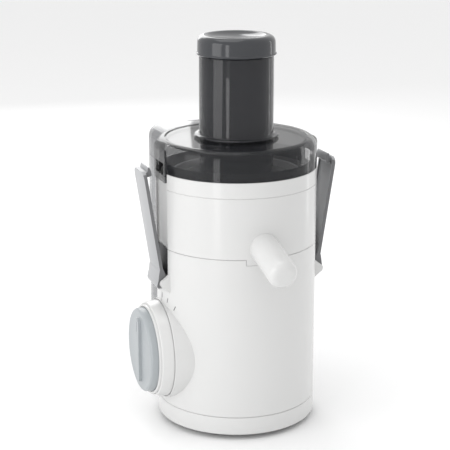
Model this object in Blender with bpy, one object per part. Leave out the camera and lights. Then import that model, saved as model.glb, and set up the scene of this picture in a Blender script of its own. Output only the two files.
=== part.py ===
"""Centrifugal juicer: motor housing, juice collector, spinning sieve, clear lid with feed tube,
pusher, pulp container, two swing-up clamp arms and a speed dial.

Units are metres, +Z is up and the front, with the spout, faces -Y. The origin is where the
vertical drive axis meets the worktop.
"""

import math

import bmesh
import bpy
from mathutils import Matrix, Vector

# ---------------------------------------------------------------- driving dimensions

BODY_RADIUS = 0.082
WALL = 0.0026
GAP = 0.0003
RUN_GAP = 0.0001
OVERLAP = 0.001

FOOT_HEIGHT = 0.0052
FOOT_RADIUS = 0.009
TRAY_TOP = 0.024
HOUSING_HEIGHT = 0.166
COLLECTOR_HEIGHT = 0.0778
LID_HEIGHT = 0.030
TUBE_RISE = 0.0822
PUSHER_CAP_HEIGHT = 0.020
HOUSING_TOP = TRAY_TOP + HOUSING_HEIGHT
DECK_TOP = HOUSING_TOP - 0.011
DECK_THICK = 0.003
COLLECTOR_TOP = HOUSING_TOP + COLLECTOR_HEIGHT
LID_TOP = COLLECTOR_TOP + LID_HEIGHT
TUBE_TOP = LID_TOP + TUBE_RISE

REAR_HALF = 0.062
REAR_DEPTH = 0.0447
REAR_REACH = BODY_RADIUS + REAR_DEPTH
REAR_CORNER = 0.028
REAR_FILLET = 0.012
CHUTE_TOP = LID_TOP - 0.0053
CHUTE_BOTTOM = COLLECTOR_TOP - 0.0055
CONTAINER_GAP = 4 * GAP

SHOULDER_WIDTH = 0.0084
SHOULDER_DROP = 0.0110
LID_WALL = 0.0025
COLLAR_RADIUS = 0.0428
COLLAR_TOP = LID_TOP + 0.003
TUBE_RADIUS = 0.0375
TUBE_WALL = 0.0025
PUSHER_GAP = 0.001
PUSHER_WALL = 0.0022

POD_BACK = BODY_RADIUS - 0.0075
POD_HALF = 0.0235
POD_FOOT = 0.014
EAR_FOOT = 0.0095
EAR_RADIUS = 0.0046
EAR_OUT = POD_HALF - 0.0005
CHANNEL_FLOOR = BODY_RADIUS - 0.0038
CHANNEL_HALF = 0.0185
LUG_OUT = BODY_RADIUS - 0.0002
LUG_HALF = 0.0175
LUG_BOTTOM = COLLECTOR_TOP - 0.0093
LUG_TOP = COLLECTOR_TOP + 0.0162
CATCH_BACK = CHANNEL_FLOOR - 0.0025
CATCH_FLOOR = COLLECTOR_TOP - 0.0024
CATCH_TOP = COLLECTOR_TOP + 0.0097
CATCH_HALF = 0.0135

BARREL_RADIUS = 0.005
BARREL_GAP = 0.0008
ARM_PIVOT_X = CHANNEL_FLOOR + BARREL_GAP + BARREL_RADIUS
ARM_PIVOT_Z = HOUSING_TOP - 0.035
ARM_LENGTH = CATCH_FLOOR - ARM_PIVOT_Z + 0.0066
ARM_HALF = 0.0175
ARM_THICK = 0.0034
ARM_REST_DEG = 8.8
PIN_RADIUS = 0.002
PIN_HALF = POD_HALF - 0.0017
BARB_HALF = 0.0125
BARB_REACH = 0.0062
BARB_HEIGHT = 0.0095

SPOUT_RADIUS = 0.0148
SPOUT_BORE = 0.0105
SPOUT_NOSE = 0.0035
SPOUT_HEIGHT = HOUSING_TOP + 0.011
SPOUT_TILT_DEG = 15.0
SPOUT_REACH = 0.0526
SPOUT_MOUTH = 0.0365
SPOUT_MOUTH_HALF_X = 0.0080
SPOUT_MOUTH_HALF_Y = 0.0070
TAB_HALF = 0.0184
TAB_DROP = 0.0055
GROOVE_DROP = 0.0161

DIAL_HEIGHT = 0.080
DIAL_BOSS_RADIUS = 0.0515
DIAL_BOSS_FOOT = 0.0545
DIAL_BOSS_FACE = BODY_RADIUS + 0.0012
DIAL_RING_RADIUS = 0.050
DIAL_RING_DEPTH = 0.0121
DIAL_LIP_RADIUS = 0.0465
DIAL_LIP_DEPTH = 0.0145
KNOB_RADIUS = 0.0435
KNOB_FACE = DIAL_BOSS_FACE + 0.0225
KNOB_GRIP = 0.0027
SPINDLE_RADIUS = 0.004

SIEVE_RIM_RADIUS = BODY_RADIUS - 0.016
SIEVE_FLOOR_RADIUS = BODY_RADIUS - 0.035
SIEVE_TOP = COLLECTOR_TOP - 0.0058
SIEVE_FLOOR = HOUSING_TOP + 0.024
SIEVE_FLOOR_STEP = 0.003
SIEVE_WALL = 0.0012
TUBE_BOTTOM = SIEVE_FLOOR + 0.010

SHAFT_RADIUS = 0.004
WELL_RADIUS = 0.0146
WELL_TOP = HOUSING_TOP + 0.016
ROTOR_RADIUS = 0.020
STATOR_BOTTOM = 0.088
STATOR_TOP = 0.122
STATOR_HALF_X = 0.040
STATOR_HALF_Y = 0.032
BRACKET_DROP = 0.024
BRACKET_THICK = 0.004

ROUND = 40
BROAD = 32
MEDIUM = 20
SMALL = 12

# ---------------------------------------------------------------- materials

COLOURS = {
    "white_plastic": ((0.86, 0.86, 0.85), 0.30, 0.0),
    "smoke_clear": ((0.10, 0.105, 0.115), 0.08, 0.0),
    "pulp_bin_plastic": ((0.74, 0.75, 0.76), 0.30, 0.0),
    "clamp_plastic": ((0.42, 0.43, 0.44), 0.38, 0.0),
    "grey_plastic": ((0.45, 0.47, 0.48), 0.40, 0.0),
    "dark_plastic": ((0.06, 0.06, 0.065), 0.45, 0.0),
    "rubber": ((0.04, 0.04, 0.04), 0.80, 0.0),
    "stainless": ((0.62, 0.62, 0.61), 0.25, 1.0),
    "steel": ((0.55, 0.55, 0.56), 0.35, 1.0),
    "lamination": ((0.28, 0.28, 0.30), 0.50, 1.0),
    "copper": ((0.72, 0.36, 0.16), 0.35, 1.0),
    "brass": ((0.75, 0.60, 0.28), 0.35, 1.0),
    "carbon": ((0.05, 0.05, 0.05), 0.60, 0.0),
}


def material(slot):
    """The named material, made the first time it is asked for."""
    found = bpy.data.materials.get(slot)
    if found:
        return found
    colour, roughness, metallic = COLOURS[slot]
    made = bpy.data.materials.new(slot)
    made.use_nodes = True
    shader = made.node_tree.nodes["Principled BSDF"]
    shader.inputs["Base Color"].default_value = (*colour, 1.0)
    shader.inputs["Roughness"].default_value = roughness
    shader.inputs["Metallic"].default_value = metallic
    return made


# ---------------------------------------------------------------- mesh helpers


def clear_scene():
    for item in list(bpy.data.objects):
        bpy.data.objects.remove(item, do_unlink=True)


def finish(bm, name, slot, location=(0, 0, 0), rotation=(0, 0, 0), parent=None):
    """Turns a bmesh into a smooth-shaded object with its own material."""
    bmesh.ops.recalc_face_normals(bm, faces=bm.faces)
    mesh = bpy.data.meshes.new(name)
    bm.to_mesh(mesh)
    bm.free()
    mesh.shade_smooth()
    mesh.set_sharp_from_angle(angle=math.radians(32))
    item = bpy.data.objects.new(name, mesh)
    item.location = location
    item.rotation_euler = rotation
    item.parent = parent
    bpy.context.scene.collection.objects.link(item)
    if slot:
        mesh.materials.append(material(slot))
    return item


def hide_cutter(item):
    item.hide_render = True
    item.display_type = "WIRE"
    return item


def combine(target, tool, operation):
    """Adds an exact boolean of a hidden tool object to the target."""
    step = target.modifiers.new(f"{operation.lower()}_{tool.name}", "BOOLEAN")
    step.operation = operation
    step.solver = "EXACT"
    step.object = hide_cutter(tool)


def cut(target, tool):
    combine(target, tool, "DIFFERENCE")


def join(target, tool):
    combine(target, tool, "UNION")


def round_edges(item, width, segments=2, angle=50):
    bevel = item.modifiers.new("rounded_edges", "BEVEL")
    bevel.width = width
    bevel.segments = segments
    bevel.limit_method = "ANGLE"
    bevel.angle_limit = math.radians(angle)


def bridge(rings, closed=False):
    """Quads between rings of equal length. Open stacks get a face over each end."""
    bm = bmesh.new()
    rows = [[bm.verts.new(point) for point in ring] for ring in rings]
    count = len(rows[0])
    pairs = list(zip(rows, rows[1:]))
    if closed:
        pairs.append((rows[-1], rows[0]))
    for low, high in pairs:
        for i in range(count):
            j = (i + 1) % count
            bm.faces.new((low[i], low[j], high[j], high[i]))
    if not closed:
        bm.faces.new(list(reversed(rows[0])))
        bm.faces.new(rows[-1])
    return bm


def arc(centre, radius, start_deg, end_deg, count):
    """Points on an arc in plan, both ends included."""
    points = []
    for i in range(count):
        angle = math.radians(start_deg + (end_deg - start_deg) * i / (count - 1))
        points.append((centre[0] + radius * math.cos(angle), centre[1] + radius * math.sin(angle)))
    return points


def circle(radius, height, segments=ROUND):
    step = 2 * math.pi / segments
    return [Vector((radius * math.cos(i * step), radius * math.sin(i * step),
                    height)) for i in range(segments)]


def turned(profile, segments=ROUND, closed=False):
    """A body of revolution about Z from (radius, height) pairs."""
    return bridge([circle(radius, height, segments) for radius, height in profile], closed)


def lift(outline, height):
    return [Vector((x, y, height)) for x, y in outline]


def box(low, high):
    bm = bmesh.new()
    bmesh.ops.create_cube(bm, size=1.0)
    size = Vector(high) - Vector(low)
    middle = (Vector(high) + Vector(low)) / 2
    bmesh.ops.scale(bm, vec=size, verts=bm.verts)
    bmesh.ops.translate(bm, vec=middle, verts=bm.verts)
    return bm


def rod(start, end, radius, segments=SMALL):
    """A plain cylinder between two points."""
    start, end = Vector(start), Vector(end)
    bm = turned([(radius, 0.0), (radius, (end - start).length)], segments)
    turn = Vector((0, 0, 1)).rotation_difference(end - start).to_matrix().to_4x4()
    bmesh.ops.transform(bm, matrix=Matrix.Translation(start) @ turn, verts=bm.verts)
    return bm


def prism(outline, low, high, axis="Z"):
    """Extrudes a plan outline; axis Y or X lays its height along that axis."""
    bm = bridge([lift(outline, low), lift(outline, high)])
    if axis == "Y":
        swap = Matrix(((1, 0, 0, 0), (0, 0, 1, 0), (0, 1, 0, 0), (0, 0, 0, 1)))
        bmesh.ops.transform(bm, matrix=swap, verts=bm.verts)
    if axis == "X":
        swap = Matrix(((0, 0, 1, 0), (1, 0, 0, 0), (0, 1, 0, 0), (0, 0, 0, 1)))
        bmesh.ops.transform(bm, matrix=swap, verts=bm.verts)
    return bm


def rounded_rect(half_x, half_y, corner, count=4):
    points = []
    for sx, sy, start in ((1, 1, 0), (-1, 1, 90), (-1, -1, 180), (1, -1, 270)):
        centre = (sx * (half_x - corner), sy * (half_y - corner))
        points += arc(centre, corner, start, start + 90, count)
    return points


def merge_into(target_bm, extra_bm):
    """Copies another bmesh's geometry into the first as a separate shell."""
    scratch = bpy.data.meshes.new("scratch")
    extra_bm.to_mesh(scratch)
    extra_bm.free()
    target_bm.from_mesh(scratch)
    bpy.data.meshes.remove(scratch)


# ---------------------------------------------------------------- plan outlines


def footprint(inset=0.0):
    """Round front joined through small fillets to the square-cornered rear, inset evenly."""
    radius, half = BODY_RADIUS - inset, REAR_HALF - inset
    reach, corner, fillet = REAR_REACH - inset, REAR_CORNER - inset, REAR_FILLET + inset
    across = half + fillet
    along = math.sqrt((radius + fillet) ** 2 - across**2)
    meet = math.degrees(math.atan2(along, across))
    points = arc((0, 0), radius, 180 - meet, 360 + meet, ROUND - 8)
    points += arc((across, along), fillet, 180 + meet, 180, 4)[1:]
    points += arc((half - corner, reach - corner), corner, 0, 90, 7)
    points += arc((-(half - corner), reach - corner), corner, 90, 180, 7)
    points += arc((-across, along), fillet, 0, -meet, 4)[:-1]
    return points


def crescent(inset=0.0):
    """The pulp container in plan: square-cornered rear, hollow front that hugs the round body."""
    radius, half = BODY_RADIUS + CONTAINER_GAP + inset, REAR_HALF - inset
    reach, corner = REAR_REACH - inset, REAR_CORNER - inset
    meet = math.degrees(math.acos(half / radius))
    points = arc((half - corner, reach - corner), corner, 0, 90, 7)
    points += arc((-(half - corner), reach - corner), corner, 90, 180, 7)
    points += arc((0, 0), radius, 180 - meet, meet, 17)
    return points


def chute_plan(inset=0.0):
    """The rear part of the lid in plan, running forward well into the round part."""
    half, reach, corner = REAR_HALF - inset, REAR_REACH - inset, REAR_CORNER - inset
    points = arc((half - corner, reach - corner), corner, 0, 90, 7)
    points += arc((-(half - corner), reach - corner), corner, 90, 180, 7)
    front = math.sqrt((BODY_RADIUS - 2 * WALL) ** 2 - half**2)
    points += [(-half, front), (half, front)]
    return points


# ---------------------------------------------------------------- base

SCREW_RING = BODY_RADIUS - 0.0075
SCREW_ANGLES = (40, 140, 220, 320)
FOOT_PLACES = ((0.038, -0.050), (-0.038, -0.050), (0.038, 0.098), (-0.038, 0.098))
GLAND_PLACE = (0.030, 0.0140)
GLAND_RADIUS = 0.0052


def screw_places():
    for degrees in SCREW_ANGLES:
        angle = math.radians(degrees)
        yield SCREW_RING * math.cos(angle), SCREW_RING * math.sin(angle)


def build_tray():
    """Shallow upturned tray under the housing, with a shelf for the pulp container."""
    bottom = FOOT_HEIGHT
    ceiling = TRAY_TOP - 0.003
    rings = [lift(footprint(0.0015), bottom), lift(footprint(), bottom + 0.0015),
             lift(footprint(), TRAY_TOP - 0.001)]
    rings += [lift(footprint(0.001), TRAY_TOP), lift(footprint(0.010), TRAY_TOP)]
    tray = finish(bridge(rings), "base_tray", "white_plastic")
    hollow = bridge([lift(footprint(WALL), bottom - OVERLAP), lift(footprint(WALL), ceiling)])
    cut(tray, finish(hollow, "cut_tray_hollow", None))
    bosses = bmesh.new()
    for x, y in FOOT_PLACES:
        merge_into(bosses, rod((x, y, bottom + GAP), (x, y, ceiling + OVERLAP), FOOT_RADIUS + 0.002))
    join(tray, finish(bosses, "add_foot_bosses", None))
    holes = bmesh.new()
    for x, y in screw_places():
        merge_into(holes, rod((x, y, bottom), (x, y, TRAY_TOP + OVERLAP), 0.0021, 12))
    merge_into(holes, rod((GLAND_PLACE[0], REAR_REACH - 0.008, GLAND_PLACE[1]),
                          (GLAND_PLACE[0], REAR_REACH + 0.002, GLAND_PLACE[1]), GLAND_RADIUS + GAP))
    cut(tray, finish(holes, "cut_tray_holes", None))


def build_feet():
    profile = [(FOOT_RADIUS - 0.0012, 0.0), (FOOT_RADIUS, 0.0012), (FOOT_RADIUS, FOOT_HEIGHT)]
    for number, (x, y) in enumerate(FOOT_PLACES, 1):
        finish(turned(profile, SMALL), f"rubber_foot_{number}", "rubber", (x, y, 0))


def build_screws():
    head_top = TRAY_TOP - 0.003 - GAP
    profile = [(0.0036, head_top - 0.002), (0.0036, head_top), (0.0018, head_top),
               (0.0018, TRAY_TOP + 0.012)]
    for number, (x, y) in enumerate(screw_places(), 1):
        finish(turned(profile, 10), f"base_screw_{number}", "steel", (x, y, 0))


def build_gland():
    """Round gland where a mains lead would leave the tray's rear wall."""
    bore = 0.0032
    profile = [(GLAND_RADIUS, 0.0), (GLAND_RADIUS, 0.0026 + 2 * GAP), (0.0072, 0.0026 + 2 * GAP),
               (0.0072, 0.0048)]
    profile += [(0.0058, 0.0075), (bore, 0.0075), (bore, 0.0)]
    finish(turned(profile, SMALL, True), "cord_gland", "dark_plastic",
           (GLAND_PLACE[0], REAR_REACH - WALL - GAP, GLAND_PLACE[1]), (-math.pi / 2, 0, 0))


# ---------------------------------------------------------------- housing and collector


def side_backing(low, high):
    """Thickens the round wall from inside, left and right, where the clamp channels are cut."""
    outer = BODY_RADIUS - 0.0008
    reach = math.degrees(math.asin(POD_HALF / outer))
    both = bmesh.new()
    for middle in (0, 180):
        outline = arc((0, 0), outer, middle - reach, middle + reach, 9)
        flip = 1 if middle == 0 else -1
        outline += [(flip * POD_BACK, flip * POD_HALF), (flip * POD_BACK, -flip * POD_HALF)]
        merge_into(both, prism(outline, low, high))
    return both


def hinge_ears():
    """Rounded ears on both sides of each channel that carry the clamp pins."""
    outline = [(POD_BACK, ARM_PIVOT_Z - EAR_FOOT), (CHANNEL_FLOOR + 0.001, ARM_PIVOT_Z - EAR_FOOT)]
    outline += arc((ARM_PIVOT_X, ARM_PIVOT_Z), EAR_RADIUS, -70, 70, 7)
    outline += [(CHANNEL_FLOOR + 0.001, ARM_PIVOT_Z + EAR_FOOT), (POD_BACK, ARM_PIVOT_Z + EAR_FOOT)]
    ears = bmesh.new()
    for side in (-1, 1):
        for end in (-1, 1):
            low, high = sorted((end * (CHANNEL_HALF - OVERLAP), end * EAR_OUT))
            merge_into(ears, prism([(side * x, z) for x, z in outline], low, high, "Y"))
    return ears


def side_boxes(inner, outer, half, low, high):
    """The same box on both sides, as a tool for channels, lugs and catches."""
    both = bmesh.new()
    for side in (-1, 1):
        near, far = sorted((side * inner, side * outer))
        merge_into(both, box((near, -half, low), (far, half, high)))
    return both


def build_housing():
    outer = [(BODY_RADIUS, TRAY_TOP + GAP), (BODY_RADIUS, HOUSING_TOP), (BODY_RADIUS - WALL, HOUSING_TOP)]
    deck = [(BODY_RADIUS - WALL, DECK_TOP), (WELL_RADIUS, DECK_TOP), (WELL_RADIUS, DECK_TOP - DECK_THICK)]
    inner = [(BODY_RADIUS - WALL, DECK_TOP - DECK_THICK), (BODY_RADIUS - WALL, TRAY_TOP + GAP)]
    housing = finish(turned(outer + deck + inner, ROUND, True), "motor_housing", "white_plastic")
    boss = turned([(DIAL_BOSS_FOOT, BODY_RADIUS / 3), (DIAL_BOSS_RADIUS, DIAL_BOSS_FACE - 0.0015),
                   (DIAL_BOSS_RADIUS - 0.0015, DIAL_BOSS_FACE)], ROUND)
    dial = ((0, 0, DIAL_HEIGHT), (0, -math.pi / 2, 0))
    hollow = turned([(DIAL_BOSS_RADIUS - WALL, BODY_RADIUS / 4),
                     (DIAL_BOSS_RADIUS - WALL, DIAL_BOSS_FACE - WALL)], ROUND)
    for disc in (boss, hollow):
        bmesh.ops.rotate(disc, cent=(0, 0, 0), matrix=Matrix.Rotation(math.pi / ROUND, 3, "Z"),
                         verts=disc.verts)
    join(housing, finish(boss, "add_dial_boss", None, *dial))
    clear = turned([(BODY_RADIUS - WALL - GAP, TRAY_TOP - 0.002),
                    (BODY_RADIUS - WALL - GAP, DECK_TOP - DECK_THICK - OVERLAP)])
    cut(housing, finish(clear, "cut_housing_inside", None))
    cut(housing, finish(hollow, "cut_dial_boss_inside", None, *dial))
    posts = bmesh.new()
    for x, y in screw_places():
        merge_into(posts, rod((x, y, TRAY_TOP + 2 * GAP), (x, y, TRAY_TOP + 0.022), 0.0058, 12))
    join(housing, finish(posts, "add_screw_posts", None))
    join(housing, finish(side_backing(ARM_PIVOT_Z - POD_FOOT, HOUSING_TOP - GAP), "add_housing_backing",
                         None))
    join(housing, finish(hinge_ears(), "add_hinge_ears", None))
    channel = side_boxes(CHANNEL_FLOOR, 2 * BODY_RADIUS, CHANNEL_HALF, ARM_PIVOT_Z - 0.0085,
                         HOUSING_TOP + OVERLAP)
    cut(housing, finish(channel, "cut_housing_channels", None))
    holes = bmesh.new()
    merge_into(holes, rod((-BODY_RADIUS + 0.012, 0, DIAL_HEIGHT), (-DIAL_BOSS_FACE - 0.006, 0,
                                                                   DIAL_HEIGHT), SPINDLE_RADIUS + GAP))
    for side in (-1, 1):
        x = side * ARM_PIVOT_X
        merge_into(holes, rod((x, -PIN_HALF - 2 * GAP, ARM_PIVOT_Z), (x, PIN_HALF + 2 * GAP, ARM_PIVOT_Z),
                              PIN_RADIUS + GAP, 12))
    for x, y in screw_places():
        merge_into(holes, rod((x, y, TRAY_TOP - 0.002), (x, y, TRAY_TOP + 0.016), 0.0021, 12))
    cut(housing, finish(holes, "cut_housing_holes", None))
    notch = box((-TAB_HALF - GAP, -2 * BODY_RADIUS, HOUSING_TOP - TAB_DROP - GAP),
                (TAB_HALF + GAP, -BODY_RADIUS + 0.022, HOUSING_TOP + OVERLAP))
    cut(housing, finish(notch, "cut_spout_notch", None))


def spout_place():
    """Axis of the spout: a point on the body's front and its outward direction."""
    tilt = math.radians(SPOUT_TILT_DEG)
    return Vector((0, -BODY_RADIUS, SPOUT_HEIGHT)), Vector((0, -math.cos(tilt), -math.sin(tilt)))


def spout_tube(radius, start, end, lip=0.0):
    """A turned length of the spout, start and end measured along it from the body's front."""
    point, along = spout_place()
    profile = [(radius, start), (radius, end - lip)]
    if lip:
        profile += [(radius - lip * 0.3, end - lip * 0.3), (radius - lip, end)]
    bm = turned(profile, MEDIUM)
    turn = Vector((0, 0, 1)).rotation_difference(along).to_matrix().to_4x4()
    bmesh.ops.transform(bm, matrix=Matrix.Translation(point) @ turn, verts=bm.verts)
    return bm


def build_collector():
    """Bowl that catches the juice, with its sloping floor, centre well, groove and spout."""
    bottom, top = HOUSING_TOP + GAP, COLLECTOR_TOP - GAP
    groove = COLLECTOR_TOP - GROOVE_DROP
    inner = BODY_RADIUS - WALL
    spigot = inner - GAP * 4
    profile = [(BODY_RADIUS, bottom), (BODY_RADIUS, groove - 0.0007), (BODY_RADIUS - 0.0006, groove)]
    profile += [(BODY_RADIUS, groove + 0.0007), (BODY_RADIUS, top)]
    profile += [(inner, top), (inner, bottom + 0.0045), (inner - 0.003, bottom + 0.0012)]
    profile += [(WELL_RADIUS + 0.007, WELL_TOP - 0.008), (WELL_RADIUS + 0.003, WELL_TOP - 0.007)]
    profile += [(WELL_RADIUS + 0.003, WELL_TOP), (WELL_RADIUS, WELL_TOP), (WELL_RADIUS, WELL_TOP - 0.011)]
    profile += [(WELL_RADIUS + 0.007, WELL_TOP - 0.0117), (spigot - WALL, bottom - 0.0023)]
    profile += [(spigot - WALL, HOUSING_TOP - 0.008), (spigot, HOUSING_TOP - 0.008), (spigot, bottom)]
    bowl = finish(turned(profile, ROUND, True), "juice_collector", "white_plastic")
    join(bowl, finish(side_backing(bottom + GAP, top - GAP), "add_collector_backing", None))
    length = SPOUT_REACH / math.cos(math.radians(SPOUT_TILT_DEG))
    join(bowl, finish(spout_tube(SPOUT_RADIUS, -0.006, length, 0.0035), "add_spout", None))
    half = math.degrees(math.asin(TAB_HALF / BODY_RADIUS))
    outline = arc((0, 0), BODY_RADIUS - GAP / 2, 270 - half, 270 + half, 9)
    outline += arc((0, 0), inner + GAP / 2, 270 + half, 270 - half, 9)
    join(bowl, finish(prism(outline, HOUSING_TOP - TAB_DROP, bottom + OVERLAP), "add_seam_tab", None))
    trim = box((-SPOUT_RADIUS - 0.004, -BODY_RADIUS + 0.0048, bottom + 0.0042),
               (SPOUT_RADIUS + 0.004, -BODY_RADIUS + 0.022, SPOUT_HEIGHT + SPOUT_RADIUS + 0.009))
    cut(bowl, finish(trim, "cut_spout_root", None))
    cut(bowl, finish(spout_tube(SPOUT_BORE, -0.012, length - SPOUT_NOSE), "cut_spout_bore", None))
    mouth = [(x, y - BODY_RADIUS - SPOUT_MOUTH) for x,
             y in rounded_rect(SPOUT_MOUTH_HALF_X, SPOUT_MOUTH_HALF_Y, 0.005, 5)]
    drop = SPOUT_MOUTH * math.tan(math.radians(SPOUT_TILT_DEG))
    cut(bowl, finish(prism(mouth, SPOUT_HEIGHT - drop - 0.030, SPOUT_HEIGHT - drop), "cut_spout_mouth",
                     None))
    channel = side_boxes(CHANNEL_FLOOR, 2 * BODY_RADIUS, CHANNEL_HALF, bottom - OVERLAP, top + OVERLAP)
    cut(bowl, finish(channel, "cut_collector_channels", None))
    relief = side_boxes(POD_BACK - GAP, 2 * BODY_RADIUS, POD_HALF + GAP, HOUSING_TOP - 0.012, HOUSING_TOP)
    cut(bowl, finish(relief, "cut_spigot_sides", None))
    seat = side_boxes(POD_BACK - OVERLAP, 2 * BODY_RADIUS, LUG_HALF + GAP, LUG_BOTTOM - GAP, top + OVERLAP)
    cut(bowl, finish(seat, "cut_lug_seats", None))


# ---------------------------------------------------------------- lid, pusher, container


def round_lid(inset, bottom):
    """The round part of the lid with its soft shoulder and sunk top face."""
    radius, top = BODY_RADIUS - inset, LID_TOP - inset
    shoulder, drop = SHOULDER_WIDTH, SHOULDER_DROP
    profile = [(radius, bottom), (radius, top - drop)]
    for degrees in (25, 50, 75) if inset == 0 else (45,):
        angle = math.radians(degrees)
        profile.append((radius - shoulder * (1 - math.cos(angle)), top - drop + drop * math.sin(angle)))
    profile += [(radius - shoulder, top), (radius - shoulder - 0.0012, top - 0.0012)]
    return turned(profile)


def rear_chute(inset, bottom):
    """The rear part of the lid, over the pulp container."""
    top = CHUTE_TOP - inset
    rings = [lift(chute_plan(inset), bottom), lift(chute_plan(inset), top - 0.008)]
    for rise, pull in ((0.005, 0.0012), (0.0072, 0.0035), (0.008, 0.0065)):
        rings.append(lift(chute_plan(inset + pull), top - 0.008 + rise))
    return bridge(rings)


def build_lid():
    """Clear lid: round cover, rear chute, feed tube through it, and a catch on each side."""
    lid = finish(round_lid(0.0, COLLECTOR_TOP), "lid", "smoke_clear")
    join(lid, finish(rear_chute(0.0, CHUTE_BOTTOM), "add_rear_chute", None))
    cut(lid, finish(round_lid(LID_WALL, COLLECTOR_TOP - 0.020), "cut_lid_inside", None))
    cut(lid, finish(rear_chute(LID_WALL, CHUTE_BOTTOM - 0.015), "cut_chute_inside", None))
    around = BODY_RADIUS + CONTAINER_GAP
    clear = turned([(around, CHUTE_BOTTOM - 0.02), (around, COLLECTOR_TOP + GAP)])
    cut(lid, finish(clear, "cut_collector_clearance", None))
    lugs = side_boxes(POD_BACK, LUG_OUT, LUG_HALF, LUG_BOTTOM, LUG_TOP)
    join(lid, finish(lugs, "add_catch_lugs", None))
    profile = [(TUBE_RADIUS, TUBE_BOTTOM), (TUBE_RADIUS, COLLAR_TOP - 0.008),
               (COLLAR_RADIUS, COLLAR_TOP - 0.008)]
    profile += [(COLLAR_RADIUS, COLLAR_TOP - 0.001), (COLLAR_RADIUS - 0.001, COLLAR_TOP)]
    profile += [(TUBE_RADIUS, COLLAR_TOP), (TUBE_RADIUS, TUBE_TOP)]
    join(lid, finish(turned(profile), "add_feed_tube", None))
    bore = turned([(TUBE_RADIUS - TUBE_WALL, TUBE_BOTTOM - OVERLAP),
                   (TUBE_RADIUS - TUBE_WALL, TUBE_TOP + OVERLAP)])
    cut(lid, finish(bore, "cut_feed_bore", None))
    catch = side_boxes(CATCH_BACK, 2 * BODY_RADIUS, CATCH_HALF, CATCH_FLOOR, CATCH_TOP)
    cut(lid, finish(catch, "cut_catches", None))


def build_pusher():
    """Hollow plunger in the feed tube, open at the top under a separate cap."""
    outer = TUBE_RADIUS - TUBE_WALL - PUSHER_GAP
    floor = TUBE_BOTTOM + 0.008
    top = TUBE_TOP + GAP
    profile = [(outer - 0.002, floor - 0.002), (outer, floor), (outer, top), (outer - PUSHER_WALL, top)]
    profile += [(outer - PUSHER_WALL, floor + 0.003)]
    pusher = finish(turned(profile), "pusher", "smoke_clear")
    half, reach = 0.0008, outer - 0.001
    cross = [(half, reach), (-half, reach), (-half, half), (-reach, half), (-reach, -half), (-half, -half)]
    cross += [(-half, -reach), (half, -reach), (half, -half), (reach, -half), (reach, half), (half, half)]
    ribs = prism(cross, floor + 0.001, top - 0.02)
    join(pusher, finish(ribs, "add_pusher_ribs", None))


def build_pusher_cap():
    """Domed grip that closes the pusher and stops it on the tube's rim."""
    rim = TUBE_RADIUS + 0.002
    plug = TUBE_RADIUS - TUBE_WALL - PUSHER_GAP - PUSHER_WALL - GAP
    base = TUBE_TOP + 2 * GAP
    top = TUBE_TOP + PUSHER_CAP_HEIGHT
    profile = [(plug, base - 0.006), (plug, base), (rim, base), (rim + 0.0008, base + 0.001),
               (rim, top - 0.006)]
    profile += [(rim - 0.002, top - 0.002), (rim - 0.007, top), (rim - 0.014, top - 0.002)]
    finish(turned(profile), "pusher_cap", "smoke_clear")


def build_container():
    """Tall pulp container that hugs the back of the body and stands on the tray."""
    floor, top = TRAY_TOP + GAP, CHUTE_BOTTOM - 2 * GAP
    rings = [lift(crescent(0.0015), floor), lift(crescent(), floor + 0.0015), lift(crescent(), top)]
    rings += [lift(crescent(0.0022), top), lift(crescent(0.0022), floor + 0.0025)]
    bin_body = finish(bridge(rings), "pulp_container", "pulp_bin_plastic")
    grip = box((-0.026, REAR_REACH - OVERLAP, top - 0.034), (0.026, REAR_REACH + 0.006, top - 0.026))
    bmesh.ops.bevel(grip, geom=grip.edges, offset=0.0022, segments=2, affect="EDGES", profile=0.5)
    join(bin_body, finish(grip, "add_container_grip", None))


# ---------------------------------------------------------------- clamps


def build_clamp(name, side):
    """One clamp arm on its own pivot empty, with the pin that it swings on."""
    place = (side * ARM_PIVOT_X, 0, ARM_PIVOT_Z)
    pivot = bpy.data.objects.new(f"{name}_pivot", None)
    pivot.location = place
    pivot.rotation_euler = (0, math.radians(ARM_REST_DEG), 0 if side > 0 else math.pi)
    pivot.rotation_mode = "XYZ"
    bpy.context.scene.collection.objects.link(pivot)
    corner = 0.009
    outline = [(-ARM_HALF, 0.0), (ARM_HALF, 0.0)]
    outline += arc((ARM_HALF - corner, ARM_LENGTH - corner), corner, 0, 90, 6)
    outline += arc((-ARM_HALF + corner, ARM_LENGTH - corner), corner, 90, 180, 6)
    arm = finish(prism(outline, -ARM_THICK / 2, ARM_THICK / 2, "X"), name, "clamp_plastic", parent=pivot)
    join(arm, finish(rod((0, -ARM_HALF, 0), (0, ARM_HALF, 0), BARREL_RADIUS), f"add_{name}_barrel", None,
                     parent=pivot))
    base = CATCH_FLOOR - ARM_PIVOT_Z + 2 * GAP
    face = -ARM_THICK / 2
    barb = [(face + 0.001, base), (face - BARB_REACH + 0.001, base), (face - BARB_REACH, base + 0.0015),
            (face - 0.0012, base + BARB_HEIGHT), (face + 0.001, base + BARB_HEIGHT + 0.0005)]
    join(arm, finish(prism(barb, -BARB_HALF, BARB_HALF, "Y"), f"add_{name}_barb", None, parent=pivot))
    bore = rod((0, -ARM_HALF - OVERLAP, 0), (0, ARM_HALF + OVERLAP, 0), PIN_RADIUS + GAP, 12)
    cut(arm, finish(bore, f"cut_{name}_bore", None, parent=pivot))
    pin = rod((0, -PIN_HALF, 0), (0, PIN_HALF, 0), PIN_RADIUS, 12)
    finish(pin, f"{name}_pin", "steel", place)


# ---------------------------------------------------------------- dial


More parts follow.
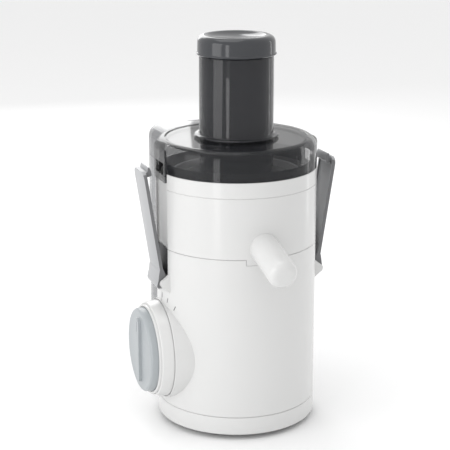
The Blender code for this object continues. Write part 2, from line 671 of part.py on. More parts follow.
def build_dial():
    """Ring on the housing's left side and the knob that turns in it, about the X axis."""
    turn = (0, -math.pi / 2, 0)
    low = DIAL_BOSS_FACE + GAP
    face = low + DIAL_RING_DEPTH
    lip = low + DIAL_LIP_DEPTH
    web = lip - 0.0017
    ring = [(DIAL_RING_RADIUS, low), (DIAL_RING_RADIUS - 0.0013, face - 0.0010),
            (DIAL_RING_RADIUS - 0.0023, face)]
    ring += [(DIAL_LIP_RADIUS, face), (DIAL_LIP_RADIUS, lip - 0.0004), (DIAL_LIP_RADIUS - 0.0005, lip)]
    ring += [(KNOB_RADIUS + 0.0006, lip), (KNOB_RADIUS + 0.0006, web), (0.012, web), (0.012, web - WALL)]
    ring += [(DIAL_RING_RADIUS - 0.0030, web - WALL), (DIAL_RING_RADIUS - 0.0022, low)]
    finish(turned(ring, BROAD, True), "dial_ring", "white_plastic", (0, 0, DIAL_HEIGHT), turn)
    knob = [(SPINDLE_RADIUS, DIAL_BOSS_FACE - WALL - 0.0022), (SPINDLE_RADIUS, web + 0.0006),
            (KNOB_RADIUS, web + 0.0006)]
    knob += [(KNOB_RADIUS, KNOB_FACE - 0.0015), (KNOB_RADIUS - 0.0015, KNOB_FACE), (0.006, KNOB_FACE)]
    dial = finish(turned(knob, BROAD), "dial_knob", "grey_plastic", (0, 0, DIAL_HEIGHT), turn)
    grip = box((-0.034, -0.0060, KNOB_FACE - OVERLAP), (0.034, 0.0060, KNOB_FACE + KNOB_GRIP))
    ends = [e for e in grip.edges if abs(e.verts[0].co.z - e.verts[1].co.z) > 0.001]
    bmesh.ops.bevel(grip, geom=ends, offset=0.005, segments=4, affect="EDGES", profile=0.5)
    join(dial, finish(grip, "add_dial_grip", None, (0, 0, DIAL_HEIGHT), turn))
    near = DIAL_BOSS_FACE - WALL - 0.0022 - 2 * GAP
    body = box((-near, -0.014, DIAL_HEIGHT - 0.014), (-near + 0.015, 0.014, DIAL_HEIGHT + 0.014))
    switch = finish(body, "speed_switch", "dark_plastic")
    round_edges(switch, 0.001, 1)


def build_interlock():
    """Small switch behind the right channel that the closed clamp would press."""
    body = box((POD_BACK - 0.009, -0.010, ARM_PIVOT_Z - 0.012),
               (POD_BACK - 0.001, 0.010, ARM_PIVOT_Z + 0.0125))
    item = finish(body, "interlock_switch", "dark_plastic")
    round_edges(item, 0.0008, 1)


# ---------------------------------------------------------------- sieve and drive


def build_sieve():
    """Spinning basket: floor disc with teeth, coned strainer wall, rim and hub."""
    slope = (SIEVE_RIM_RADIUS - SIEVE_FLOOR_RADIUS) / (SIEVE_TOP - SIEVE_FLOOR)
    low, high = SIEVE_FLOOR + SIEVE_FLOOR_STEP, SIEVE_TOP - 0.006
    low_radius = SIEVE_FLOOR_RADIUS + slope * (low - SIEVE_FLOOR) - 0.002
    high_radius = SIEVE_FLOOR_RADIUS + slope * (high - SIEVE_FLOOR) - 0.002
    wall = [(low_radius, low), (high_radius, high), (high_radius - SIEVE_WALL, high),
            (low_radius - SIEVE_WALL, low)]
    finish(turned(wall, BROAD, True), "strainer_wall", "stainless")
    rim_low = high + GAP
    rim = [(high_radius + 0.0012, rim_low), (SIEVE_RIM_RADIUS, rim_low + 0.001),
           (SIEVE_RIM_RADIUS, SIEVE_TOP)]
    rim += [(SIEVE_RIM_RADIUS - 0.003, SIEVE_TOP), (high_radius - SIEVE_WALL - 0.0008, rim_low)]
    finish(turned(rim, BROAD, True), "strainer_rim", "white_plastic")
    floor = turned([(SIEVE_FLOOR_RADIUS, SIEVE_FLOOR), (SIEVE_FLOOR_RADIUS, SIEVE_FLOOR + 0.0015),
                    (SIEVE_FLOOR_RADIUS - 0.001, low - GAP)], BROAD)
    disc = finish(floor, "grater_disc", "stainless")
    teeth = bmesh.new()
    for row in range(6):
        for step in range(4):
            radius = 0.012 + 0.007 * step
            angle = math.radians(60 * row + 9 * step)
            tooth = bmesh.new()
            bmesh.ops.create_cone(tooth, cap_ends=True, segments=4, radius1=0.0014, radius2=0.0003,
                                  depth=0.0030)
            spot = (radius * math.cos(angle), radius * math.sin(angle), low - GAP + 0.0009)
            bmesh.ops.translate(tooth, vec=spot, verts=tooth.verts)
            merge_into(teeth, tooth)
    join(disc, finish(teeth, "add_grater_teeth", None))
    hub = [(0.0125, WELL_TOP - 0.004), (0.0125, SIEVE_FLOOR - GAP), (0.0068, SIEVE_FLOOR - GAP)]
    hub += [(0.0068, WELL_TOP + 0.001), (0.0116, WELL_TOP - 0.004)]
    finish(turned(hub, MEDIUM, True), "basket_hub", "white_plastic")


def build_drive():
    """Shaft, coupling and seal between the motor and the basket."""
    tip = WELL_TOP - 0.012
    shaft = [(SHAFT_RADIUS, STATOR_BOTTOM - 0.032), (SHAFT_RADIUS, tip - 0.001), (SHAFT_RADIUS - 0.001, tip)]
    finish(turned(shaft, MEDIUM), "motor_shaft", "steel")
    cup = [(0.0110, DECK_TOP + 0.003), (0.0110, WELL_TOP - 0.0055), (0.0062, WELL_TOP - 0.0035)]
    cup += [(0.0062, SIEVE_FLOOR - 0.0008), (0.0035, SIEVE_FLOOR - 0.0008), (0.0035, tip + 0.0007)]
    cup += [(SHAFT_RADIUS + RUN_GAP, tip + 0.0007), (SHAFT_RADIUS + RUN_GAP, DECK_TOP + 0.003)]
    finish(turned(cup, MEDIUM, True), "drive_coupling", "dark_plastic")
    seal = [(WELL_RADIUS - GAP, DECK_TOP - DECK_THICK), (WELL_RADIUS - GAP, DECK_TOP + 0.001)]
    seal += [(SHAFT_RADIUS + 0.0006, DECK_TOP + 0.001), (SHAFT_RADIUS + 0.0006, DECK_TOP - DECK_THICK)]
    finish(turned(seal, MEDIUM, True), "shaft_seal", "rubber")


# ---------------------------------------------------------------- motor

COIL_NEAR = 0.0220
COIL_FAR = 0.0300
COIL_INNER = 0.0180
COIL_OUTER = 0.0250
BEARING_RADIUS = 0.008


def build_stator():
    core = finish(prism(rounded_rect(STATOR_HALF_X, STATOR_HALF_Y, 0.006, 3), STATOR_BOTTOM, STATOR_TOP),
                  "stator_core", "lamination")
    holes = turned([(ROTOR_RADIUS + 0.0006, STATOR_BOTTOM - OVERLAP),
                    (ROTOR_RADIUS + 0.0006, STATOR_TOP + OVERLAP)],
                   MEDIUM)
    for side in (-1, 1):
        for end in (-1, 1):
            near, far = sorted((side * (COIL_NEAR - GAP), side * (COIL_FAR + GAP)))
            low, high = sorted((end * (COIL_INNER - GAP), end * (COIL_OUTER + GAP)))
            merge_into(holes, box((near, low, STATOR_BOTTOM - OVERLAP), (far, high, STATOR_TOP + OVERLAP)))
    cut(core, finish(holes, "cut_stator_slots", None))
    middle = (STATOR_BOTTOM + STATOR_TOP) / 2
    half = (STATOR_TOP - STATOR_BOTTOM) / 2
    for side, name in ((-1, "field_coil_left"), (1, "field_coil_right")):
        rings = []
        for x in (COIL_NEAR, COIL_FAR):
            rings.append([Vector((side * x, y, middle + z)) for y,
                          z in rounded_rect(COIL_OUTER, half + 0.0065, 0.003, 3)])
        inner = []
        for x in (COIL_FAR, COIL_NEAR):
            inner.append([Vector((side * x, y, middle + z)) for y,
                          z in rounded_rect(COIL_INNER, half + GAP, 0.0001, 3)])
        finish(bridge(rings + inner, True), name, "copper")


def build_rotor():
    """Slotted core with end windings, commutator and cooling fan, all on the shaft."""
    clear = SHAFT_RADIUS + RUN_GAP
    outline = []
    slots = 12
    for number in range(slots):
        start = 360 / slots * number
        outline += arc((0, 0), ROTOR_RADIUS, start, start + 22, 3)
        outline += arc((0, 0), ROTOR_RADIUS - 0.005, start + 22, start + 30, 2)
    core = finish(prism(outline, STATOR_BOTTOM, STATOR_TOP), "rotor_core", "lamination")
    bore = turned([(clear, STATOR_BOTTOM - OVERLAP), (clear, STATOR_TOP + OVERLAP)], MEDIUM)
    cut(core, finish(bore, "cut_rotor_bore", None))
    for name, low, high in (("winding_lower", STATOR_BOTTOM - 0.0075, STATOR_BOTTOM - GAP),
                            ("winding_upper", STATOR_TOP + GAP, STATOR_TOP + 0.0075)):
        ring = [(0.0155, low), (0.0175, (low + high) / 2), (0.0155, high), (clear, high), (clear, low)]
        finish(turned(ring, 16, True), name, "copper")
    low = STATOR_BOTTOM - 0.0225
    ring = [(0.011, low), (0.011, low + 0.0120), (0.0125, low + 0.0125), (0.0125, low + 0.0145)]
    ring += [(clear, low + 0.0145), (clear, low)]
    finish(turned(ring, 16, True), "commutator", "copper")
    low = STATOR_TOP + 0.0085
    fan = finish(turned([(0.026, low), (0.026, low + 0.0016), (0.008, low + 0.0020), (0.008, low + 0.0090),
                         (clear, low + 0.0090), (clear, low)], MEDIUM, True), "cooling_fan", "dark_plastic")
    blades = bmesh.new()
    count = 8
    for number in range(count):
        blade = box((0.0070, -0.0006, low + 0.0010), (0.0250, 0.0006, low + 0.0080))
        turn = Matrix.Rotation(2 * math.pi * number / count, 3, "Z")
        bmesh.ops.rotate(blade, cent=(0, 0, 0), matrix=turn, verts=blade.verts)
        merge_into(blades, blade)
    join(fan, finish(blades, "add_fan_blades", None))


def bracket(name, plate_low, core_face, direction):
    """End plate with a bearing seat and two legs that reach the stator core."""
    plate_high = plate_low + BRACKET_THICK
    item = finish(prism(rounded_rect(STATOR_HALF_X, STATOR_HALF_Y, 0.006, 3), plate_low, plate_high),
                  name, "steel")
    if direction > 0:
        low, high = core_face + GAP, plate_low + OVERLAP
    else:
        low, high = plate_high - OVERLAP, core_face - GAP
    legs = side_boxes(0.0335, 0.0385, 0.012, low, high)
    join(item, finish(legs, f"add_{name}_legs", None))
    hole = turned([(BEARING_RADIUS + GAP, plate_low - OVERLAP),
                   (BEARING_RADIUS + GAP, plate_high + OVERLAP)], MEDIUM)
    cut(item, finish(hole, f"cut_{name}_seat", None))
    ring = [(BEARING_RADIUS, plate_low), (BEARING_RADIUS, plate_high), (SHAFT_RADIUS + RUN_GAP, plate_high)]
    ring += [(SHAFT_RADIUS + RUN_GAP, plate_low)]
    finish(turned(ring, MEDIUM, True), f"bearing_{name.split('_')[-1]}", "steel")


def build_brackets():
    bracket("bracket_lower", STATOR_BOTTOM - BRACKET_DROP - BRACKET_THICK, STATOR_BOTTOM, -1)
    bracket("bracket_upper", STATOR_TOP + BRACKET_DROP, STATOR_TOP, 1)
    low = STATOR_TOP + BRACKET_DROP + BRACKET_THICK + GAP
    high = DECK_TOP - DECK_THICK - GAP
    waist = (low + high) / 2
    profile = [(0.0060, low), (0.0045, waist), (0.0060, high)]
    places = ((0.031, 0.023), (-0.031, 0.023), (-0.031, -0.023), (0.031, -0.023))
    for number, (x, y) in enumerate(places, 1):
        finish(turned(profile, 12), f"motor_mount_{number}", "rubber", (x, y, 0))


def build_brushes():
    """Carbon brushes on the commutator, each in its holder, front and back."""
    middle = STATOR_BOTTOM - 0.0165
    for side, name in ((-1, "front"), (1, "rear")):
        near, far = sorted((side * 0.0113, side * 0.0240))
        finish(box((-0.003, near, middle - 0.003), (0.003, far, middle + 0.003)), f"brush_{name}", "carbon")
        near, far = sorted((side * 0.0140, side * 0.0280))
        holder = finish(box((-0.0048, near, middle - 0.0048), (0.0048, far, middle + 0.0048)),
                        f"brush_holder_{name}", "brass")
        near, far = sorted((side * 0.0130, side * 0.0243))
        hole = box((-0.0033, near, middle - 0.0033), (0.0033, far, middle + 0.0033))
        cut(holder, finish(hole, f"cut_brush_{name}", None))


def main():
    clear_scene()
    build_tray()
    build_feet()
    build_screws()
    build_gland()
    build_housing()
    build_collector()
    build_lid()
    build_pusher()
    build_pusher_cap()
    build_container()
    build_clamp("clamp_left", -1)
    build_clamp("clamp_right", 1)
    build_dial()
    build_interlock()
    build_sieve()
    build_drive()
    build_stator()
    build_rotor()
    build_brackets()
    build_brushes()


main()
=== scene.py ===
"""Looks for the centrifugal juicer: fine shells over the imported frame, materials, light and camera."""

import math

import bmesh
import bpy
from mathutils import Matrix, Vector


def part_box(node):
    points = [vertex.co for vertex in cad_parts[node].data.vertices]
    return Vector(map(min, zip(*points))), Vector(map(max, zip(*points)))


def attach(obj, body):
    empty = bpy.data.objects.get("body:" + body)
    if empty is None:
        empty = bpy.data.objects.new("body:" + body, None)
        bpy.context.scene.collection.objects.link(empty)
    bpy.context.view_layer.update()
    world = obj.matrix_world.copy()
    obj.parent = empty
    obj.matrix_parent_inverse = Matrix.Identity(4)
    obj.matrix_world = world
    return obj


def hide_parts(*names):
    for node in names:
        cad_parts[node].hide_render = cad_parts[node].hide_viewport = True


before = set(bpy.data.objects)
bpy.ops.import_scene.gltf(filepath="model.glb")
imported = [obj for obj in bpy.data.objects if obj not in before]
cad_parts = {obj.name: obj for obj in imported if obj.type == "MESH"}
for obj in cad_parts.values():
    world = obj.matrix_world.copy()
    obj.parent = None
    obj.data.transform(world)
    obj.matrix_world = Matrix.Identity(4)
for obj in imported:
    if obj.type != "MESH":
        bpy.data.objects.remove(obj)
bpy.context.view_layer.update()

# ---------------------------------------------------------------- sizes, from the frame where it has them

TRAY_LOW, TRAY_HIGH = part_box("base_tray")
HOUSING_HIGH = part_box("motor_housing")[1]
BOWL_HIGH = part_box("juice_collector")[1]
LID_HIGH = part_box("lid")[1]
CAP_LOW, CAP_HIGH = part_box("pusher_cap")
PUSHER_LOW, PUSHER_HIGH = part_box("pusher")
BIN_LOW, BIN_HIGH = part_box("pulp_container")
RING_LOW, RING_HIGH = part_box("dial_ring")
KNOB_LOW, KNOB_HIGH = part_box("dial_knob")

GAP = 0.0003
WALL = 0.0026
BODY_RADIUS = LID_HIGH.x
HOUSING_TOP = HOUSING_HIGH.z
COLLECTOR_TOP = BOWL_HIGH.z + GAP
DECK_TOP = HOUSING_TOP - 0.011
GROOVE_DROP = 0.0161

LID_TOP = COLLECTOR_TOP + 0.030
SHOULDER_WIDTH = 0.0084
SHOULDER_DROP = 0.0110
LEDGE = 0.0009
LID_WALL = 0.0025
COLLAR_RADIUS = 0.0428
COLLAR_TOP = LID_TOP + 0.003
TUBE_RADIUS = 0.0375
TUBE_WALL = 0.0025
TUBE_BOTTOM = PUSHER_LOW.z - 0.006
TUBE_TOP = LID_HIGH.z

REAR_HALF = BIN_HIGH.x
REAR_REACH = TRAY_HIGH.y
REAR_CORNER = 0.028
REAR_FILLET = 0.012
CHUTE_TOP = LID_TOP - 0.0053
CHUTE_BOTTOM = BIN_HIGH.z + 2 * GAP
CONTAINER_GAP = 4 * GAP

POD_BACK = BODY_RADIUS - 0.0075
POD_HALF = 0.0235
POD_FOOT = 0.014
EAR_FOOT = 0.0095
EAR_RADIUS = 0.0046
EAR_OUT = POD_HALF - 0.0005
CHANNEL_FLOOR = BODY_RADIUS - 0.0038
CHANNEL_HALF = 0.0185
LUG_OUT = BODY_RADIUS - 0.0002
LUG_HALF = 0.0175
LUG_BOTTOM = COLLECTOR_TOP - 0.0093
CATCH_BACK = CHANNEL_FLOOR - 0.0025
CATCH_FLOOR = COLLECTOR_TOP - 0.0024
CATCH_TOP = COLLECTOR_TOP + 0.0097
CATCH_HALF = 0.0135

ARM_PIVOT_X = CHANNEL_FLOOR + 0.0058
ARM_PIVOT_Z = HOUSING_TOP - 0.035
ARM_LENGTH = CATCH_FLOOR - ARM_PIVOT_Z + 0.0066
ARM_HALF = 0.0175
ARM_THICK = 0.0034
ARM_REST = math.radians(8.8)
BARREL_RADIUS = 0.005
BARB_HALF = 0.0125
BARB_REACH = 0.0062

SPOUT_RADIUS = 0.0148
SPOUT_BORE = 0.0105
SPOUT_NOSE = 0.0035
SPOUT_HEIGHT = HOUSING_TOP + 0.011
SPOUT_TILT = math.radians(15)
SPOUT_REACH = 0.0526
SPOUT_MOUTH = 0.0365
TAB_HALF = 0.0184
TAB_DROP = 0.0055

DIAL_HEIGHT = (KNOB_LOW.z + KNOB_HIGH.z) / 2
DIAL_BOSS_RADIUS = 0.0515
DIAL_BOSS_FOOT = 0.0545
DIAL_BOSS_FACE = BODY_RADIUS + 0.0012
DIAL_RING_RADIUS = (RING_HIGH.z - RING_LOW.z) / 2
DIAL_RING_DEPTH = 0.0121
DIAL_LIP_RADIUS = 0.0465
DIAL_LIP_DEPTH = 0.0145
KNOB_RADIUS = (KNOB_HIGH.z - KNOB_LOW.z) / 2
KNOB_GRIP = 0.0027
KNOB_FACE = -KNOB_LOW.x - KNOB_GRIP
SPINDLE_RADIUS = 0.004
SPINDLE_HOLE = 0.0043
PIN_HOLE = 0.0023

FINE = 160
ROUND = 96
SMALL = 32

# ---------------------------------------------------------------- outlines


def arc(centre, radius, start_deg, end_deg, count):
    points = []
    for i in range(count):
        angle = math.radians(start_deg + (end_deg - start_deg) * i / (count - 1))
        points.append((centre[0] + radius * math.cos(angle), centre[1] + radius * math.sin(angle)))
    return points


def eased(points, radius, steps=4):
    """Rounds the sharp corners of an outline with short arcs."""
    result = []
    count = len(points)
    for i, point in enumerate(points):
        here = Vector(point)
        to_last = Vector(points[i - 1]) - here
        to_next = Vector(points[(i + 1) % count]) - here
        turn = math.pi - to_last.angle(to_next)
        if turn < math.radians(20):
            result.append(point)
            continue
        reach = min(radius * math.tan(turn / 2), to_last.length * 0.45, to_next.length * 0.45)
        start = here + to_last.normalized() * reach
        end = here + to_next.normalized() * reach
        for step in range(steps + 1):
            t = step / steps
            spot = start * (1 - t) ** 2 + here * 2 * t * (1 - t) + end * t**2
            result.append((spot.x, spot.y))
    return result


def footprint(inset=0.0):
    """Round front joined through small fillets to the square-cornered rear."""
    radius, half = BODY_RADIUS - inset, REAR_HALF - inset
    reach, corner, fillet = REAR_REACH - inset, REAR_CORNER - inset, REAR_FILLET + inset
    across = half + fillet
    along = math.sqrt((radius + fillet) ** 2 - across**2)
    meet = math.degrees(math.atan2(along, across))
    points = arc((0, 0), radius, 180 - meet, 360 + meet, 120)
    points += arc((across, along), fillet, 180 + meet, 180, 10)[1:]
    points += arc((half - corner, reach - corner), corner, 0, 90, 16)
    points += arc((-(half - corner), reach - corner), corner, 90, 180, 16)
    points += arc((-across, along), fillet, 0, -meet, 10)[:-1]
    return points


def crescent(inset=0.0):
    """The pulp container in plan: square-cornered rear and a hollow front that hugs the body."""
    radius, half = BODY_RADIUS + CONTAINER_GAP + inset, REAR_HALF - inset
    reach, corner = REAR_REACH - inset, REAR_CORNER - inset
    meet = math.degrees(math.acos(half / radius))
    points = arc((half - corner, reach - corner), corner, 0, 90, 16)
    points += arc((-(half - corner), reach - corner), corner, 90, 180, 16)
    points += arc((0, 0), radius, 180 - meet, meet, 40)
    return points


def chute_plan(inset=0.0):
    """The rear part of the lid in plan, running forward well into the round part."""
    half, reach, corner = REAR_HALF - inset, REAR_REACH - inset, REAR_CORNER - inset
    front = math.sqrt((BODY_RADIUS - 2 * WALL) ** 2 - half**2)
    points = arc((half - corner, reach - corner), corner, 0, 90, 16)
    points += arc((-(half - corner), reach - corner), corner, 90, 180, 16)
    return points + [(-half, front), (half, front)]


# ---------------------------------------------------------------- mesh tools


def bridge(rings, closed=False):
    """Quads between rings of equal length. Open stacks get a face over each end."""
    bm = bmesh.new()
    rows = [[bm.verts.new(point) for point in ring] for ring in rings]
    count = len(rows[0])
    pairs = list(zip(rows, rows[1:]))
    if closed:
        pairs.append((rows[-1], rows[0]))
    for low, high in pairs:
        for i in range(count):
            j = (i + 1) % count
            bm.faces.new((low[i], low[j], high[j], high[i]))
    if not closed:
        bm.faces.new(list(reversed(rows[0])))
        bm.faces.new(rows[-1])
    return bm


def turned(profile, segments=FINE, closed=False):
    """A body of revolution about Z from (radius, height) pairs."""
    rings = []
    for radius, height in profile:
        step = 2 * math.pi / segments
        rings.append([Vector((radius * math.cos(i * step), radius * math.sin(i * step), height))
                      for i in range(segments)])
    return bridge(rings, closed)


def lift(outline, height):
    return [Vector((x, y, height)) for x, y in outline]


def prism(outline, low, high, axis="Z"):
    """Extrudes a plan outline; axis Y or X lays its height along that axis."""
    bm = bridge([lift(outline, low), lift(outline, high)])
    rows = {"Y": ((1, 0, 0, 0), (0, 0, 1, 0), (0, 1, 0, 0), (0, 0, 0, 1)),
            "X": ((0, 0, 1, 0), (1, 0, 0, 0), (0, 1, 0, 0), (0, 0, 0, 1))}
    if axis in rows:
        bmesh.ops.transform(bm, matrix=Matrix(rows[axis]), verts=bm.verts)
    return bm


def box(low, high):
    bm = bmesh.new()
    bmesh.ops.create_cube(bm, size=1.0)
    bmesh.ops.scale(bm, vec=Vector(high) - Vector(low), verts=bm.verts)
    bmesh.ops.translate(bm, vec=(Vector(high) + Vector(low)) / 2, verts=bm.verts)
    return bm


def placed(bm, start, direction):
    """Turns a body built along +Z so that it runs from start in the given direction."""
    turn = Vector((0, 0, 1)).rotation_difference(Vector(direction)).to_matrix().to_4x4()
    bmesh.ops.transform(bm, matrix=Matrix.Translation(Vector(start)) @ turn, verts=bm.verts)
    return bm


def rod(start, end, radius, segments=SMALL):
    span = Vector(end) - Vector(start)
    return placed(turned([(radius, 0.0), (radius, span.length)], segments), start, span)


def merge_into(target, extra):
    scratch = bpy.data.meshes.new("scratch")
    extra.to_mesh(scratch)
    extra.free()
    target.from_mesh(scratch)
    bpy.data.meshes.remove(scratch)
    return target


def both_sides(inner, outer, half, low, high):
    """The same block on the left and on the right of the body."""
    pair = bmesh.new()
    for side in (-1, 1):
        near, far = side * inner, side * outer
        outline = [(near, -half), (far, -half), (far, half), (near, half)]
        merge_into(pair, prism(outline, low, high))
    return pair


def make(bm, name):
    bmesh.ops.recalc_face_normals(bm, faces=bm.faces)
    mesh = bpy.data.meshes.new(name)
    bm.to_mesh(mesh)
    bm.free()
    item = bpy.data.objects.new(name, mesh)
    bpy.context.scene.collection.objects.link(item)
    return item


def shape(item, tool_bm, operation):
    """Applies an exact boolean and removes the tool."""
    tool = make(tool_bm, "tool")
    step = item.modifiers.new("step", "BOOLEAN")
    step.operation = operation
    step.solver = "EXACT"
    step.object = tool
    bake(item)
    mesh = tool.data
    bpy.data.objects.remove(tool)
    bpy.data.meshes.remove(mesh)


def cut(item, tool_bm):
    shape(item, tool_bm, "DIFFERENCE")


def join(item, tool_bm):
    shape(item, tool_bm, "UNION")


def taken(item):
    """Turns an object back into a loose body and removes the object."""
    bm = bmesh.new()
    bm.from_mesh(item.data)
    bpy.data.objects.remove(item)
    return bm


def bake(item):
    """Applies an object's modifiers to its mesh."""
    bpy.context.view_layer.update()
    seen = item.evaluated_get(bpy.context.evaluated_depsgraph_get())
    mesh = bpy.data.meshes.new_from_object(seen)
    old = item.data
    item.modifiers.clear()
    item.data = mesh
    bpy.data.meshes.remove(old)


def soften(item, width, segments=2, angle=45):
    bevel = item.modifiers.new("soft_edges", "BEVEL")
    bevel.width = width
    bevel.segments = segments
    bevel.limit_method = "ANGLE"
    bevel.angle_limit = math.radians(angle)
    bake(item)


def smooth(item, angle=38):
    item.data.shade_smooth()
    item.data.set_sharp_from_angle(angle=math.radians(angle))


def dress(item, material, body, slot, *nodes, angle=38):
    """Shades a finished piece, gives it its material and ties it to its body and CAD nodes."""
    smooth(item, angle)
    item.data.materials.clear()
    item.data.materials.append(material)
    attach(item, body)
    if nodes:
        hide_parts(*nodes)
    return item


# ---------------------------------------------------------------- materials


class Look:
    """A small helper that builds one procedural material on object coordinates."""

    def __init__(self, name, colour, roughness, metallic=0.0):
        self.material = bpy.data.materials.new(name)
        self.material.use_nodes = True
        self.nodes = self.material.node_tree.nodes
        self.links = self.material.node_tree.links
        self.shader = self.nodes["Principled BSDF"]
        self.shader.inputs["Base Color"].default_value = (*colour, 1.0)
        self.shader.inputs["Roughness"].default_value = roughness
        self.shader.inputs["Metallic"].default_value = metallic
        self.place = self.nodes.new("ShaderNodeTexCoord").outputs["Object"]
        self.height = None

    def noise(self, scale, detail=3.0, stretch=None):
        """Noise in object space, optionally stretched along an axis."""
        vector = self.place
        if stretch:
            mapping = self.nodes.new("ShaderNodeMapping")
            mapping.inputs["Scale"].default_value = stretch
            self.links.new(self.place, mapping.inputs["Vector"])
            vector = mapping.outputs["Vector"]
        node = self.nodes.new("ShaderNodeTexNoise")
        node.inputs["Scale"].default_value = scale
        node.inputs["Detail"].default_value = detail
        self.links.new(vector, node.inputs["Vector"])
        return node.outputs["Fac"]

    def between(self, factor, low, high):
        """Maps a 0 to 1 factor onto a range of values."""
        node = self.nodes.new("ShaderNodeMapRange")
        node.inputs["To Min"].default_value = low
        node.inputs["To Max"].default_value = high
        self.links.new(factor, node.inputs["Value"])
        return node.outputs["Result"]

    def mix(self, factor, first, second):
        node = self.nodes.new("ShaderNodeMix")
        node.data_type = "RGBA"
        node.inputs["A"].default_value = (*first, 1.0)
        node.inputs["B"].default_value = (*second, 1.0)
        self.links.new(factor, node.inputs["Factor"])
        return node.outputs["Result"]

    def colour(self, socket):
        self.links.new(socket, self.shader.inputs["Base Color"])

    def rough(self, socket):
        self.links.new(socket, self.shader.inputs["Roughness"])

    def bump(self, socket, strength, distance):
        node = self.nodes.new("ShaderNodeBump")
        node.inputs["Strength"].default_value = strength
        node.inputs["Distance"].default_value = distance
        self.links.new(socket, node.inputs["Height"])
        if self.height:
            self.links.new(self.height, node.inputs["Normal"])
        self.height = node.outputs["Normal"]
        self.links.new(self.height, self.shader.inputs["Normal"])

    def math(self, operation, first, second=None):
        node = self.nodes.new("ShaderNodeMath")
        node.operation = operation
        for index, value in enumerate((first, second)):
            if value is None:
                continue
            if isinstance(value, (int, float)):
                node.inputs[index].default_value = value
            else:
                self.links.new(value, node.inputs[index])
        return node.outputs["Value"]


def moulded(name, colour, roughness, grain=0.10, coat=0.0, spread=0.03):
    """Moulded plastic: faint flow clouds in the colour, uneven gloss and a fine surface grain."""
    look = Look(name, colour, roughness)
    darker = tuple(c * (1 - spread) for c in colour)
    lighter = tuple(min(1.0, c * (1 + spread)) for c in colour)
    look.colour(look.mix(look.noise(22.0), darker, lighter))
    look.rough(look.between(look.noise(60.0, 4.0), roughness * 0.95, roughness * 1.06))
    look.bump(look.noise(2600.0, 2.0), grain, 0.00004)
    look.shader.inputs["Coat Weight"].default_value = coat
    look.shader.inputs["Coat Roughness"].default_value = 0.06
    return look.material


def see_through(name, colour, roughness, facing, grazing, power):
    """Clear tinted plastic: see-through face on, denser and darker at a grazing angle."""
    look = Look(name, colour, roughness)
    rim = look.nodes.new("ShaderNodeLayerWeight")
    rim.inputs["Blend"].default_value = 0.5
    steep = look.math("POWER", rim.outputs["Facing"], power)
    cloud = look.between(look.noise(30.0), -0.02, 0.02)
    dense = look.between(steep, facing, grazing)
    look.links.new(look.math("ADD", dense, cloud), look.shader.inputs["Alpha"])
    look.colour(look.mix(look.noise(18.0), tuple(c * 0.92 for c in colour), tuple(c * 1.08 for c in colour)))
    look.rough(look.between(look.noise(50.0, 4.0), roughness * 0.8, roughness * 1.3))
    look.bump(look.noise(40.0, 2.0), 0.10, 0.0002)
    look.shader.inputs["IOR"].default_value = 1.55
    return look.material


def shade_edged(name, colour, edge, roughness):
    """Moulded plastic with painted shade: its narrow edges, facing along Y, get a darker grey than its
    faces, standing in for the shadow on the clamp's side walls.
    """
    look = Look(name, colour, roughness)
    split = look.nodes.new("ShaderNodeSeparateXYZ")
    look.links.new(look.nodes.new("ShaderNodeTexCoord").outputs["Normal"], split.inputs["Vector"])
    # painted shade: faces whose normal runs along Y take the darker colour
    side = look.math("GREATER_THAN", look.math("ABSOLUTE", split.outputs["Y"]), 0.75)
    look.colour(look.mix(side, colour, edge))
    look.rough(look.between(look.noise(60.0, 4.0), roughness * 0.86, roughness * 1.18))
    look.bump(look.noise(2600.0, 2.0), 0.2, 0.00004)
    return look.material


def metal(name, colour, roughness, stretch=(1.0, 1.0, 30.0)):
    """Brushed or turned metal with streaks across the stretched axis."""
    look = Look(name, colour, roughness, 1.0)
    streaks = look.noise(300.0, 4.0, stretch)
    look.colour(look.mix(look.noise(30.0), tuple(c * 0.88 for c in colour), colour))
    look.rough(look.between(streaks, roughness * 0.7, min(1.0, roughness * 1.4)))
    look.bump(streaks, 0.15, 0.0001)
    return look.material


def perforated(name, colour):
    """Stainless sheet with staggered rows of small holes, laid out round the Z axis."""
    look = Look(name, colour, 0.28, 1.0)
    split = look.nodes.new("ShaderNodeSeparateXYZ")
    look.links.new(look.place, split.inputs["Vector"])
    x, y, z = split.outputs["X"], split.outputs["Y"], split.outputs["Z"]
    rows = look.math("MULTIPLY", z, 1 / 0.0016)
    row = look.math("FLOOR", rows)
    shift = look.math("MULTIPLY", look.math("MODULO", row, 2.0), 0.5)
    around = look.math("MULTIPLY", look.math("ARCTAN2", y, x), 190 / (2 * math.pi))
    across = look.math("SUBTRACT", look.math("FRACT", look.math("ADD", around, shift)), 0.5)
    along = look.math("SUBTRACT", look.math("FRACT", rows), 0.5)
    away = look.math("SQRT", look.math("ADD", look.math("POWER", across, 2.0),
                                       look.math("POWER", along, 2.0)))
    hole = look.math("LESS_THAN", away, 0.30)
    look.colour(look.mix(hole, colour, (0.03, 0.03, 0.03)))
    look.rough(look.between(hole, 0.25, 0.75))
    look.bump(look.math("SUBTRACT", 1.0, hole), 0.6, 0.0002)
    return look.material


